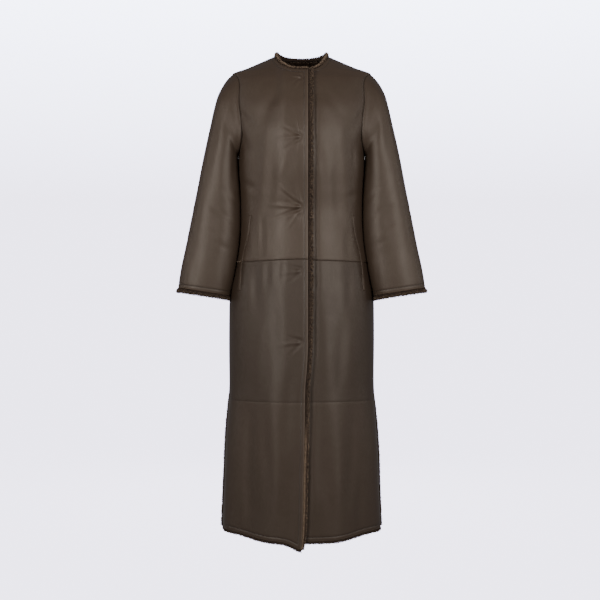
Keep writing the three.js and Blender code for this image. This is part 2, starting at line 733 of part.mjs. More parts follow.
// Down one edge of the three panels of a front, without the doubled points at its seams
function fullColumn(names, edge, inside, fromRow) {
  const outline = [];
  const within = [];
  names.forEach((name, k) => {
    const grid = grids[name];
    grid.forEach((cells, i) => {
      if (k === 0 && i < fromRow) return;
      if (k > 0 && i === 0) return;
      outline.push(cells.at(edge));
      within.push(cells.at(inside));
    });
  });
  return { outline, within };
}

function slitReach(point) {
  return Math.min(slitHalf(point.z) - WOOL_SLIT_CLEAR, WOOL_REACH);
}

function frontWool(which) {
  const names = ['upper', 'middle', 'lower'].map((part) => `front_${which}_${part}`);
  const upper = grids[names[0]];
  const lower = grids[names[2]];
  const neck = neckFrames([...upper[0]].reverse(), [...upper[1]].reverse());
  const frontReach = (point) => (which === 'right' ? topEdgeWool(point.z) : WOOL_REACH);
  const down = fullColumn(names, 0, 1, 0);
  const front = edgeFrames(down.outline, down.within, frontReach);
  const hem = edgeFrames(lower.at(-1), lower.at(-2), () => WOOL_REACH);
  const up = fullColumn(names.slice(1), -1, -2, SLIT_ROW + 1);
  const slit = edgeFrames(up.outline, up.within, slitReach, WOOL_FLARE).reverse();
  const frames = [
    ...neck.slice(0, -1),
    cornerFrame(neck.at(-1), front[0]),
    ...front.slice(1, -1),
    cornerFrame(front.at(-1), hem[0]),
    ...hem.slice(1, -1),
    cornerFrame(hem.at(-1), slit[0]),
    ...slit.slice(1),
  ];
  return woolRoll(`wool_front_${which}`, frames);
}

function backWool() {
  const names = ['back_middle', 'back_lower'];
  const lower = grids.back_lower;
  const right = fullColumn(names, 0, 1, SLIT_ROW + 1);
  const left = fullColumn(names, -1, -2, SLIT_ROW + 1);
  const downRight = edgeFrames(right.outline, right.within, slitReach, WOOL_FLARE);
  const hem = edgeFrames(lower.at(-1), lower.at(-2), () => WOOL_REACH);
  const upLeft = edgeFrames(left.outline, left.within, slitReach, WOOL_FLARE).reverse();
  const frames = [
    ...downRight.slice(0, -1),
    cornerFrame(downRight.at(-1), hem[0]),
    ...hem.slice(1, -1),
    cornerFrame(hem.at(-1), upLeft[0]),
    ...upLeft.slice(1),
  ];
  return woolRoll('wool_back_hem', frames);
}

function cuffWool(which) {
  const front = grids[`sleeve_${which}_front`];
  const back = grids[`sleeve_${which}_back_lower`];
  const loop = (row) => [...front.at(row), ...back.at(row).slice(1, -1).reverse()];
  const edge = loop(-1);
  const inside = loop(-2);
  return woolRoll(`wool_cuff_${which}`, edgeFrames(edge, inside, () => WOOL_CUFF_REACH, WOOL_FLARE), true);
}

coat.add(frontWool('right'), frontWool('left'));
coat.add(woolRoll('wool_back_neck', neckFrames(grids.back_upper[0], grids.back_upper[1])));
coat.add(backWool());
coat.add(cuffWool('right'), cuffWool('left'));

// A flat strip that lies on the front, beside the pocket line
function pocketWelt(which) {
  const side = SIDES[which];
  const rings = [];
  for (let i = 0; i <= WELT_STEPS; i += 1) {
    const z = mix(POCKET[0].z, POCKET.at(-1).z, i / WELT_STEPS);
    const angle = pocketAngle(z) * DEG;
    const stretch = Math.hypot(bodySide(z) * Math.cos(angle), bodyFront(z) * Math.sin(angle));
    const far = angle + WELT_WIDTH / stretch;
    const near = bodyWall(side * angle, z, false);
    const away = bodyWall(side * far, z, false);
    const lift = (cell, height) => cell.outer.clone().addScaledVector(cell.normal, height);
    const low = 2 * SEAM_GAP;
    const high = low + WELT_THICK;
    rings.push([lift(near, low), lift(away, low), lift(away, high), lift(near, high)]);
  }
  return ringSolid(`pocket_welt_${which}`, rings, false, leather());
}

coat.add(pocketWelt('right'), pocketWelt('left'));

// The face that a line down the body's normal meets, on the outside or the inside of a panel
function faceUnder(panelName, angle, z, fromInside) {
  const base = bodyBase(angle, z);
  const normal = bodyNormal(angle, z);
  const betweenFronts = 2;
  const wellOutside = 3 * FRONT_LIFT;
  const start = base.clone().addScaledVector(normal, fromInside ? betweenFronts : wellOutside);
  const direction = normal.clone().multiplyScalar(fromInside ? 1 : -1);
  const panel = coat.getObjectByName(panelName);
  const hit = new THREE.Raycaster(start, direction).intersectObject(panel)[0];
  return { point: hit.point, normal: hit.face.normal };
}

function turned(name, profile, seat) {
  const points = profile.map(({ radius, height }) => new THREE.Vector2(radius, height));
  const mesh = new THREE.Mesh(new THREE.LatheGeometry(points, SNAP_SIDES), metal());
  mesh.name = name;
  mesh.position.copy(seat.point).addScaledVector(seat.normal, SNAP_SEAT_GAP);
  mesh.quaternion.setFromUnitVectors(new THREE.Vector3(0, 1, 0), seat.normal);
  return mesh;
}

const STUD = [
  { radius: 0, height: 0 },
  { radius: SNAP_RADIUS, height: 0 },
  { radius: SNAP_RADIUS, height: SNAP_BASE * 0.6 },
  { radius: SNAP_RADIUS - 0.8, height: SNAP_BASE },
  { radius: SNAP_NUB_RADIUS, height: SNAP_BASE },
  { radius: SNAP_NUB_RADIUS, height: SNAP_NUB - 0.4 },
  { radius: SNAP_NUB_RADIUS - 0.6, height: SNAP_NUB },
  { radius: 0, height: SNAP_NUB },
];
const SOCKET = [
  { radius: 0, height: 0 },
  { radius: SNAP_RADIUS, height: 0 },
  { radius: SNAP_RADIUS, height: SNAP_SOCKET_THICK - 0.6 },
  { radius: SNAP_RADIUS - 0.7, height: SNAP_SOCKET_THICK },
  { radius: SNAP_SOCKET_HOLE, height: SNAP_SOCKET_THICK },
  { radius: SNAP_SOCKET_HOLE, height: 0.6 },
  { radius: 0, height: 0.6 },
];

SNAP_LEVELS.forEach((z, i) => {
  const part = z > WAIST_SEAM_Z ? 'upper' : 'middle';
  coat.add(turned(`snap_stud_${i + 1}`, STUD, faceUnder(`front_left_${part}`, 0, z, false)));
  coat.add(turned(`snap_socket_${i + 1}`, SOCKET, faceUnder(`front_right_${part}`, 0, z, true)));
});

export default coat;
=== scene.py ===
import math

import bmesh
import bpy
import numpy as np
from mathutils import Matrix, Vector


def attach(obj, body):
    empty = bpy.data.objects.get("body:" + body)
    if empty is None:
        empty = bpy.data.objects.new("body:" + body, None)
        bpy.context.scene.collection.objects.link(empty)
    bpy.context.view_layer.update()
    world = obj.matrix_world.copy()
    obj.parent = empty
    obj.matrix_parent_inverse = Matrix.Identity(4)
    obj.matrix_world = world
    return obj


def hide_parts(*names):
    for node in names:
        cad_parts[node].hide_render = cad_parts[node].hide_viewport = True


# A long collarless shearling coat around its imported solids. The forms are worked out in millimetres, from the
# same sizes as the part's source, and every mesh is made in metres. Angles run round the body from the front
# centre.

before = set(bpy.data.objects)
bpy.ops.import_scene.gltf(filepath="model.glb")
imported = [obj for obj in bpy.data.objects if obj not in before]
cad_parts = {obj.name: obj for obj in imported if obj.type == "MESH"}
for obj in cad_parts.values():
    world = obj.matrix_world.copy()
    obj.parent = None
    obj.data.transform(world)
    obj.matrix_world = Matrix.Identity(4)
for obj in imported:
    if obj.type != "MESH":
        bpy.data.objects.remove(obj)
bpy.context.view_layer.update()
chance = np.random.default_rng(41)
MM = 0.001
DEG = math.pi / 180
FULL_TURN = 2 * math.pi

# Camera, level and in front, as in the photograph

VIEW_DISTANCE = 3.4
# width of the picture at the coat's middle
VIEW_WIDTH = 1.59
VIEW_LEVEL = -0.636
VIEW_ASIDE = -0.0042

camera_data = bpy.data.cameras.new("camera")
camera_data.sensor_width = 36
camera_data.lens = camera_data.sensor_width * VIEW_DISTANCE / VIEW_WIDTH
camera = bpy.data.objects.new("camera", camera_data)
camera.location = (VIEW_ASIDE, -VIEW_DISTANCE, VIEW_LEVEL)
camera.rotation_euler = (math.pi / 2, 0, 0)
bpy.context.scene.collection.objects.link(camera)
bpy.context.scene.camera = camera

# Sizes of the coat

NECK_HALF_WIDTH = 71.5
NECK_SIDE_Z = 7.6
NECK_BACK_Z = 10
NECK_FRONT_Z = {"right": -47, "left": -41}
SHOULDER_TIP_Z = -40
UNDERARM_Z = -255
WAIST_SEAM_Z = -532
WAIST_SEAM_DIP = 5
LOWER_SEAM_Z = -896
SLIT_TOP_Z = -853
CORNER_DROP = 18
CORNER_WIDTH = 30
FRONT_LIFT = 10.4
LIFT_START = -71.5
LIFT_START_LOW = -122
LIFT_END = -38
UNDER_EDGE_PAST = 24
# how far each front goes past the middle at the neck
NECK_EDGE_PAST = {"right": 16, "left": UNDER_EDGE_PAST}
NECK_SQUARENESS = 3
NECK_DROP = 0.87

# level, half width, depth to the front, depth to the back, exponent of the oval
BODY = np.array([
    (22, 41, 42, 65, 2.1), (8, 71, 50, 73, 2.05), (-8, 107, 58, 84, 1.95), (-24, 144.5, 68, 93, 1.88),
    (-40, 184.4, 80, 99, 1.85), (-60, 189.5, 95, 105, 1.95), (-105, 189, 115, 114, 2.15),
    (-150, 182, 129, 119, 2.3), (-210, 173, 139, 120, 2.3), (-255, 166, 140, 117, 2.3),
    (-274, 167.6, 139, 115, 2.3), (-300, 166.8, 137, 112, 2.3), (-350, 164.6, 130, 107, 2.3),
    (-411, 164.1, 123, 103, 2.3), (-450, 165.6, 124.5, 106, 2.3), (-493, 169, 128, 114, 2.3),
    (-532, 174.5, 132, 122, 2.3), (-570, 181, 135.5, 129, 2.3), (-620, 190, 139, 134, 2.3),
    (-660, 191.5, 141, 136, 2.3), (-780, 191.5, 145, 137, 2.3), (-853, 191, 146.5, 137, 2.3),
    (-901, 193, 147.5, 138, 2.3), (-1007, 200, 149.5, 141, 2.3), (-1113, 204, 151.5, 144, 2.3),
    (-1219, 208.5, 153.5, 147, 2.3), (-1275, 210, 155, 149, 2.3),
])
# angle, spread, level where it starts, level where it is full, height
BODY_FOLDS = (
    (-64, 11, -640, -1200, 5), (-41, 9, -700, -1180, -5), (-22, 8, -620, -1000, 3.5),
    (24, 9, -660, -1220, 4.5), (44, 10, -720, -1150, -4.5), (67, 11, -640, -1230, 5),
    (118, 12, -560, -1200, -6), (142, 12, -600, -1230, 7), (168, 11, -500, -1150, -6),
    (-165, 12, -560, -1200, 6), (-138, 12, -620, -1180, -6), (-114, 11, -560, -1240, 6),

)
# angle and level
HEM = np.array([(0, -1248), (21, -1246), (34, -1241), (43, -1236), (52, -1232), (66, -1230), (90, -1230)])
# level, how far the edge of the top front goes past the middle, and how far its wool reaches
TOP_EDGE = np.array([
    (40, 16, 16), (-600, 16, 16), (-747, 16, 14), (-816, 13, 13), (-867, 9, 13.5), (-955, 8, 13),
    (-1066, 5.5, 12), (-1203, 2.8, 11.5), (-1275, -1, 7.5),
])
# level and half width
SLIT = np.array([(-853, 0.15), (-880, 4), (-920, 8.5), (-1010, 12), (-1275, 16)])
# level and angle
POCKET = np.array([
    (-416, 49.8), (-450, 51.2), (-480, 53.7), (-520, 57.8), (-547, 57.7), (-580, 55.6), (-612, 53.2),
])
# swing in degrees, and roundness above and below
ARMHOLE_FRONT = (-32, 2.6, 1.5)
ARMHOLE_BACK = (33, 1.6, 1.4)
# levels of the rows at the centre, from the neck to the underarm, before the neck's own level is added
CENTRE_FRONT = (0, -16, -32, -47, -62, -76, -92, -111, -134, -159, -188, -220, -262)
CENTRE_BACK = (0, -18, -36, -54, -66, -80, -98, -119, -143, -169, -197, -226, -255)
SHOULDER_ROW = 3
UNDERARM_ROW = 12
WAIST_ROW = 17
SLIT_SHARE = 7 / 9

# for each ring of a sleeve: outer x and z, inner x and z, depth to the front and back, and how far forward
SLEEVE = np.array([
    (184.4, -40, 166, -255, 62, 62, 0), (199, -55, 167, -257, 64, 64, 1),
    (210, -72, 168, -260, 66, 65, 3), (221, -96, 168.5, -265, 67, 66, 5),
    (231, -133, 169, -274, 67, 66, 8), (240, -175, 168.5, -288, 65, 65, 12),
    (251, -225, 167, -311, 62, 63, 16), (262.5, -282, 165, -344, 60, 61, 20),
    (273, -340, 163.5, -385, 58, 60, 24), (284, -396, 163.5, -430, 57, 58, 27),
    (294.5, -450, 166, -477, 56, 57, 30), (305, -502, 171.5, -525, 55, 56, 32),
    (316, -553, 180.5, -574, 55, 55, 34), (324, -603, 191.3, -623.5, 54, 54, 35),
])
SLEEVE_FULLNESS = 2.35
SLEEVE_BLEND = 3.5
OUTER_SEAM_SWING = 40
OUTER_SEAM_BLEND = 5
LAST_RING = len(SLEEVE) - 1
# turn, spread, ring, length in rings, height
SLEEVE_FOLDS = (
    (62, 16, 4.2, 1.9, -2.5), (118, 18, 3.2, 1.6, 2.5), (95, 22, 8.9, 0.8, -1.6), (120, 24, 10, 0.7, 1.4),
    (262, 26, 4.4, 1.8, -5), (225, 20, 7.8, 0.9, 4), (250, 24, 9, 0.8, -4),

)

# Creases, listed one by one. On the body: x and level at both ends, spread, height, and 1 where it fades from
# its start. A negative height is a trough. The back ones are given by angle in place of x.

SNAP_LEVELS = (-66, -221, -399, -562, -742)
FRONT_CREASES = (
    # puckers that run from the snaps
    (-4, -72, -22, -88, 2.7, -1.3, 1), (-6, -68, -26, -64, 2.7, 1.2, 1), (0, -76, 2, -98, 2.7, -1.2, 1),
    (-8, -76, -20, -102, 2.7, 0.9, 1), (-2, -64, -8, -50, 2.5, -0.9, 1),
    (-6, -216, -46, -196, 3.2, -1.7, 1), (-8, -222, -58, -226, 4.0, 1.6, 1),
    (-6, -228, -40, -252, 3.4, -1.6, 1), (-3, -212, -12, -178, 3.1, 1.2, 1),
    (-2, -230, -10, -262, 3.1, 1.0, 1), (6, -230, 10, -252, 2.9, -0.7, 1),
    (-6, -391, -46, -360, 3.6, -2.3, 1), (-9, -398, -74, -393, 4.5, 2.3, 1),
    (-8, -405, -62, -425, 3.8, -2.2, 1), (-5, -411, -32, -450, 3.6, 1.6, 1),
    (-3, -388, -12, -346, 3.6, 1.4, 1), (-14, -384, -52, -344, 3.6, 1.3, 1),
    (4, -410, 6, -440, 3.1, -1.0, 1), (-2, -414, -10, -452, 2.9, -1.2, 1),
    (-6, -556, -42, -546, 3.6, -1.2, 1), (-8, -564, -54, -570, 4.0, 1.3, 1),
    (-6, -570, -34, -594, 3.6, -1.2, 1), (-6, -738, -40, -726, 3.6, -1.2, 1),
    (-8, -744, -52, -750, 4.0, 1.3, 1), (-6, -750, -30, -776, 3.6, -1.1, 1),
    # the wearer's right front
    (-88, -196, -113, -478, 11, 1.8, 0), (-101, -424, -99, -526, 6, -2.0, 0),
    (-70, -300, -78, -392, 9, -1.0, 0), (-150, -160, -118, -196, 7, -2.0, 1),
    (-158, -205, -132, -262, 7, -1.8, 1), (-150, -330, -122, -352, 8, -1.2, 0),
    (-58, -100, -96, -150, 12, -1.2, 0), (-40, -270, -60, -330, 10, 0.9, 0),
    (-128, -470, -126, -528, 6, 1.4, 0), (-84, -536, -86, -600, 7, -1.4, 0),
    (-46, -536, -48, -590, 6, -1.0, 0), (-120, -540, -118, -640, 9, -1.6, 0),
    (-66, -620, -60, -820, 13, -1.4, 0), (-104, -700, -112, -860, 12, 1.4, 0),
    (-30, -830, -42, -1010, 12, -1.2, 0), (-92, -905, -84, -1120, 13, -1.5, 0),
    (-132, -920, -142, -1150, 12, -1.4, 0), (-56, -1000, -66, -1200, 12, 1.4, 0),
    (-28, -1090, -24, -1210, 9, -1.0, 0), (-150, -1120, -152, -1225, 9, 1.2, 0),
    # the wearer's left front
    (105, -200, 123, -462, 11, 1.7, 0), (134, -234, 134, -294, 3.4, -1.1, 0),
    (86, -300, 92, -410, 9, -1.0, 0), (152, -158, 124, -200, 7, -2.0, 1),
    (156, -212, 138, -256, 7, -1.5, 1), (148, -356, 122, -372, 8, -1.2, 0),
    (60, -96, 92, -152, 12, -1.2, 0), (44, -240, 56, -320, 10, -0.9, 0),
    (118, -460, 120, -528, 6, -1.6, 0), (80, -536, 82, -596, 7, -1.3, 0), (50, -536, 52, -610, 6, 1.0, 0),
    (124, -540, 122, -650, 9, -1.6, 0), (62, -640, 70, -840, 13, 1.3, 0),
    (106, -690, 98, -850, 12, -1.5, 0), (36, -700, 42, -880, 11, -1.2, 0),
    (50, -905, 44, -1100, 13, -1.6, 0), (88, -930, 98, -1160, 13, 1.4, 0),
    (132, -910, 126, -1130, 12, -1.6, 0), (66, -1060, 72, -1210, 11, -1.2, 0),
    (30, -1010, 28, -1190, 10, 1.1, 0), (152, -1100, 150, -1222, 9, -1.2, 0),

)
BACK_CREASES = (
    (126, -110, 136, -300, 13, -2.0, 0), (-124, -118, -134, -310, 13, -1.8, 0),
    (112, -150, 124, -200, 8, -2.2, 1), (-110, -146, -122, -204, 8, -2.0, 1),
    (176, -60, 178, -260, 16, -1.4, 0), (150, -330, 178, -360, 10, 1.5, 0),
    (140, -400, 172, -424, 9, -2.0, 0), (-142, -392, -174, -410, 9, -1.8, 0),
    (-130, -450, -160, -470, 8, 1.4, 0), (118, -440, 140, -474, 8, 1.5, 0),
    (160, -470, 178, -500, 8, -1.4, 0), (-168, -440, -148, -452, 8, -1.4, 0),
    (150, -536, 148, -640, 10, -2.0, 0), (-156, -536, -152, -660, 10, -1.8, 0),
    (126, -536, 124, -620, 8, 1.6, 0), (-120, -536, -122, -600, 8, 1.6, 0),
    (104, -560, 102, -760, 12, -1.8, 0), (-100, -570, -104, -780, 12, 1.6, 0),
    (170, -700, 174, -900, 14, 1.8, 0), (-172, -760, -168, -980, 14, -1.8, 0),
    (130, -820, 128, -1040, 14, -1.8, 0), (-128, -840, -130, -1060, 14, 1.8, 0),
    (156, -960, 160, -1200, 13, -2.0, 0), (-150, -980, -146, -1210, 13, 2.0, 0),
    (178, -1040, 176, -1225, 12, 1.6, 0), (108, -1000, 106, -1200, 10, 1.4, 0),
    (-108, -1010, -106, -1210, 10, -1.4, 0),

)
# turn and ring at both ends, spread, height, fade
SLEEVE_CREASES = (
    (62, 8.55, 142, 9.15, 6.5, -2.3, 0), (52, 9.45, 122, 9.95, 6, -1.9, 0),
    (78, 10.35, 152, 10.75, 6, -1.6, 0), (96, 7.55, 160, 8.3, 7, -1.7, 0),
    (70, 9.0, 128, 9.45, 6, 1.5, 0), (118, 9.8, 168, 10.3, 6.5, 1.3, 0), (42, 1.0, 66, 3.2, 8, -1.6, 0),
    (118, 0.8, 148, 2.6, 9, -2.2, 1), (170, 1.6, 150, 4.2, 9, -2.0, 1), (158, 1.2, 136, 3.4, 8, 1.6, 1),
    (104, 3.0, 92, 8.2, 15, 2.0, 0), (60, 5.0, 58, 8.0, 12, -1.6, 0), (138, 5.0, 132, 7.4, 9, -1.4, 0),
    (84, 11.0, 88, 12.7, 12, 1.4, 0), (128, 11.2, 140, 12.6, 8, -1.3, 0),
    (60, 11.4, 66, 12.7, 8, -1.0, 0), (232, 8.6, 292, 9.2, 7, -2.2, 0),
    (214, 10.0, 282, 10.4, 6.5, -1.7, 0), (224, 9.3, 286, 9.75, 6.5, 1.6, 0),
    (252, 1.6, 300, 6.0, 14, -2.0, 0), (228, 0.8, 244, 3.2, 9, 1.6, 0), (262, 6.0, 268, 8.2, 11, 1.6, 0),
    (320, 8.8, 372, 9.3, 6, -1.5, 0), (318, 10.2, 366, 10.6, 6, -1.3, 0),
    (240, 11.0, 250, 12.7, 10, -1.5, 0), (292, 11.2, 286, 12.7, 9, 1.3, 0),
    (20, 10.0, 48, 10.5, 6, -1.2, 0),

)
SNAP_REACH = 20
PUCKER_DEPTH = 1.1
DIMPLE_DEPTH = 1.3
DIMPLE_SPREAD = 7
UNDER_FALL = 3.4
UNDER_FALL_SPREAD = 6
UNDER_FALL_LEVELS = (-60, -130)
FRONT_OF_SLEEVE = 0.45
# millimetres along the surface for a degree, and for a ring
SPREAD_PER_DEGREE = 3.0
SLEEVE_PER_DEGREE = 1.05
SLEEVE_PER_RING = 50.0

# Thicknesses and trims

WALL = 4.6
WELT_WALL = 1.3
STITCH_INSET = 10.0
ARMHOLE_STITCH = 7.5
STITCH_PITCH = 4.3
# height, width and length of a stitch, how far its middle stands up, and how near it may come to another edge
STITCH_SIZE = (0.8, 0.95, 3.3)
STITCH_RISE = 0.18
STITCH_CLEAR = STITCH_INSET - 1.3
WOOL_REACH = 9.0
WOOL_NECK_SIDE = 7.0
WOOL_CUFF_REACH = 14.5
WOOL_FLARE = 0.33
SLIT_FLARE = 0.85
SLIT_TAN = 0.6
WOOL_THICK = 6.3


# Curves

def smooth_curve(keys, values):
    keys, values = np.asarray(keys, float), np.asarray(values, float)
    steps = np.diff(values) / np.diff(keys)
    slopes = np.concatenate([steps[:1], np.zeros(len(steps) - 1), steps[-1:]])
    same_way = steps[:-1] * steps[1:] > 0
    both = np.where(same_way, steps[:-1] + steps[1:], 1)
    slopes[1:-1] = np.where(same_way, 2 * steps[:-1] * steps[1:] / both, 0)

    def at(key):
        key = np.asarray(key, float)
        i = np.clip(np.searchsorted(keys, key) - 1, 0, len(steps) - 1)
        width, rise = keys[i + 1] - keys[i], values[i + 1] - values[i]
        t = (key - keys[i]) / width
        bend = (slopes[i] * width - rise) * (1 - t) - (slopes[i + 1] * width - rise) * t
        inside = values[i] + rise * t + t * (1 - t) * bend
        before = values[0] + slopes[0] * (key - keys[0])
        after = values[-1] + slopes[-1] * (key - keys[-1])
        return np.where(key <= keys[0], before, np.where(key >= keys[-1], after, inside))

    return at


def by_level(table, column):
    curve = smooth_curve(-table[:, 0], table[:, column])
    return lambda z: curve(-np.asarray(z, float))


def smooth_step(start, end, value):
    t = np.clip((value - start) / (end - start), 0, 1)
    return t * t * (3 - 2 * t)


def mix(a, b, t):
    return a + (b - a) * t


def bump(distance, spread):
    return np.exp(-((distance / spread) ** 2))


def unit(vectors):
    return vectors / np.maximum(np.linalg.norm(vectors, axis=-1, keepdims=True), 1e-9)


body_side, body_front, body_back, body_full = (by_level(BODY, column) for column in (1, 2, 3, 4))
top_edge_past, top_edge_wool = by_level(TOP_EDGE, 1), by_level(TOP_EDGE, 2)
slit_half = by_level(SLIT, 1)
pocket_angle = by_level(POCKET, 1)
hem_curve = smooth_curve(HEM[:, 0], HEM[:, 1])


# The body's surface

def body_base(angle, z):
    angle, z = np.broadcast_arrays(np.asarray(angle, float), np.asarray(z, float))
    full = body_full(z)
    radius = (np.abs(np.sin(angle)) ** full + np.abs(np.cos(angle)) ** full) ** (-1 / full)
    depth = np.where(np.cos(angle) >= 0, body_front(z), body_back(z))
    return np.stack([body_side(z) * radius * np.sin(angle), -depth * radius * np.cos(angle), z], -1)


def body_normal(angle, z):
    around = body_base(angle + 0.02, z) - body_base(angle - 0.02, z)
    up = body_base(angle, z + 2) - body_base(angle, z - 2)
    return unit(np.cross(around, up))


def turn_between(a, b):
    turn = np.abs(a - b) % 360
    return np.minimum(turn, 360 - turn)


def body_fold(angle, z):
    total = np.zeros(np.shape(angle))
    for middle, spread, start, full, height in BODY_FOLDS:
        total += height * bump(turn_between(angle / DEG, middle), spread) * smooth_step(start, full, z)
    return total


def angle_at(x, z):
    full = body_full(z)
    share = np.minimum(np.abs(x) / body_side(z), 1)
    return np.sign(x) * np.arctan2(share, (1 - share ** full) ** (1 / full))


def crease(across, along, start, end, spread, height, fade):
    """Height at points of a crease between two ends, all in millimetres on the surface."""
    run = np.array(end, float) - np.array(start, float)
    length = np.hypot(*run)
    run /= length
    dx, dy = across - start[0], along - start[1]
    t = (dx * run[0] + dy * run[1]) / length
    aside = -dx * run[1] + dy * run[0]
    past = np.maximum(np.maximum(-t, t - 1), 0) * length
    inside = np.clip(t, 0, 1)
    even = 0.35 + 0.65 * np.sin(math.pi * inside) ** 0.8
    fading = 1 - 0.85 * inside
    strength = np.where(fade, fading, even) * bump(past, 1.6 * spread)
    beside = 0.35 * (bump(aside - 2 * spread, 1.2 * spread) + bump(aside + 2 * spread, 1.2 * spread))
    return height * strength * (bump(aside, spread) - beside)


WAVE_COUNT = 26
WAVE_HEIGHT = 1.1
# how many go round, length along the coat, and where each starts both ways
WAVES = [
    (
        chance.integers(2, 15), chance.uniform(160, 420),
        chance.uniform(0, FULL_TURN), chance.uniform(0, FULL_TURN),
    )
    for _ in range(WAVE_COUNT)
]


def undulation(angle, z):
    """Faint unevenness of a hide, the same all the way round."""
    total = np.zeros(np.shape(angle))
    for number, length, start, lean in WAVES:
        wave = np.sin(number * angle + start) * np.sin(FULL_TURN * z / length + lean)
        total += wave * WAVE_HEIGHT / (number + 3)
    return total


def body_detail(angle, z, which):
    degrees = angle / DEG
    across = degrees * SPREAD_PER_DEGREE
    total = undulation(angle, z)
    if which == "back":
        for a0, z0, a1, z1, spread, height, fade in BACK_CREASES:
            sided = np.where(np.sign(degrees) == np.sign(a0), degrees, degrees + 360 * np.sign(a0))
            start, end = (a0 * SPREAD_PER_DEGREE, z0), (a1 * SPREAD_PER_DEGREE, z1)
            total += crease(sided * SPREAD_PER_DEGREE, z, start, end, spread, height, fade)
        return total
    x = body_base(angle, z)[..., 0]
    for x0, z0, x1, z1, spread, height, fade in FRONT_CREASES:
        at_snap = abs(x0) < SNAP_REACH
        if at_snap and which == "left" or not at_snap and (x0 > 0) != (which == "left"):
            continue
        deeper = PUCKER_DEPTH if at_snap else 1
        total += crease(x, z, (x0, z0), (x1, z1), spread, height * deeper, fade)
    if which == "left":
        # the under front falls back beside the edge that covers it
        beside = x - top_edge_past(z) - top_edge_wool(z)
        total -= UNDER_FALL * bump(beside - 2, UNDER_FALL_SPREAD) * smooth_step(*UNDER_FALL_LEVELS, z)
    if which == "right":
        for level in SNAP_LEVELS:
            total -= DIMPLE_DEPTH * bump(np.hypot(x + 1, z - level), DIMPLE_SPREAD)
    return total


def front_lift(x, z):
    return FRONT_LIFT * smooth_step(mix(LIFT_START, LIFT_START_LOW, smooth_step(-75, -240, z)), LIFT_END, x)


# The armhole and the sleeve, for the wearer's left

def armhole(turn):
    side = np.abs(np.sin(turn))
    swing, upper, lower = (
        np.where(np.sin(turn) > 0, front, back) for front, back in zip(ARMHOLE_FRONT, ARMHOLE_BACK)
    )
    roundness = np.where(np.cos(turn) > 0, upper, lower)
    angle = (90 + swing * (1 - (1 - side) ** roundness)) * DEG
    return angle, mix(UNDERARM_Z, SHOULDER_TIP_Z, (1 + np.cos(turn)) / 2)


sleeve_curves = [smooth_curve(np.arange(LAST_RING + 1), SLEEVE[:, column]) for column in range(7)]


def sleeve_tube(turn, ring):
    out_x, out_z, in_x, in_z, front, back, forward = (curve(ring) for curve in sleeve_curves)
    radius = (np.abs(np.sin(turn)) ** SLEEVE_FULLNESS + np.abs(np.cos(turn)) ** SLEEVE_FULLNESS)
    radius = radius ** (-1 / SLEEVE_FULLNESS)
    depth = np.where(np.sin(turn) > 0, front, back)
    share = (1 + radius * np.cos(turn)) / 2
    return np.stack([
        mix(in_x, out_x, share), -forward - depth * radius * np.sin(turn), mix(in_z, out_z, share)
    ], -1)


def sleeve_base(turn, ring):
    turn, ring = np.broadcast_arrays(np.asarray(turn, float), np.asarray(ring, float))
    shift = body_base(*armhole(turn)) - sleeve_tube(turn, np.zeros(turn.shape))
    leave = smooth_step(0, SLEEVE_BLEND, ring)[..., None]
    return sleeve_tube(turn, ring) + shift * (1 - leave)


def sleeve_normal(turn, ring):
    step = 0.03
    low = np.maximum(ring - step, 0)
    high = np.minimum(low + 2 * step, LAST_RING)
    around = sleeve_base(turn + step, ring) - sleeve_base(turn - step, ring)
    return unit(np.cross(around, sleeve_base(turn, high) - sleeve_base(turn, low)))


def sleeve_detail(turn, ring, which):
    degrees = turn / DEG
    across, along = degrees * SLEEVE_PER_DEGREE, ring * SLEEVE_PER_RING
    total = 0.5 * undulation(turn, ring * 47 + (90 if which == "left" else 0))
    for middle, spread, place, length, height in SLEEVE_FOLDS:
        total += height * bump(turn_between(degrees, middle), spread) * bump(ring - place, length)
    shift, size = (0.18, 0.85) if which == "left" else (0, 1)
    for t0, r0, t1, r1, spread, height, fade in SLEEVE_CREASES:
        height *= FRONT_OF_SLEEVE if 30 < t0 < 180 else 1
        for lap in (0, 360):
            start = ((t0 + lap) * SLEEVE_PER_DEGREE, (r0 - shift) * SLEEVE_PER_RING)
            end = ((t1 + lap) * SLEEVE_PER_DEGREE, (r1 - shift) * SLEEVE_PER_RING)
            total += crease(across, along, start, end, spread, height * size, fade)
    return total * smooth_step(0, 1.5, ring)


# Panels as grids of points

def stations(length, cell, fine_start, fine_end):
    """Shares along a length, about a cell apart and closer near an end that needs it."""
    close = np.array([0, 1.4, 3.2, 5.6, 7.8, 9.4, 11, 13.4, 17])
    start = close if fine_start else np.array([0, 2.5, 5.5])
    end = length - (close if fine_end else np.array([0, 2.5, 5.5]))[::-1]
    between = np.linspace(start[-1], end[0], max(int(round((end[0] - start[-1]) / cell)), 2) + 1)
    return np.concatenate([start, between[1:-1], end]) / length


def finer(places, low, high, least):
    """Halves the steps between two places, where they are longer than the least."""
    middles = (places[1:] + places[:-1]) / 2
    chosen = (middles > low) & (middles < high) & (np.diff(places) > least)
    return np.sort(np.concatenate([places, middles[chosen]]))


def along_surface(angle, z, shares):
    """Points at the given shares of a path's length on the body, for every row of paths."""
    points = body_base(angle, z)
    steps = np.linalg.norm(np.diff(points, axis=1), axis=-1)
    lengths = np.concatenate([np.zeros((len(steps), 1)), np.cumsum(steps, axis=1)], axis=1)
    rows = []
    for length, a, level in zip(lengths, angle, z):
        place = shares * length[-1]
        rows.append((np.interp(place, length, a), np.interp(place, length, level)))
    rows = np.array(rows)
    return rows[:, 0], rows[:, 1]


FINE = np.linspace(0, 1, 121)


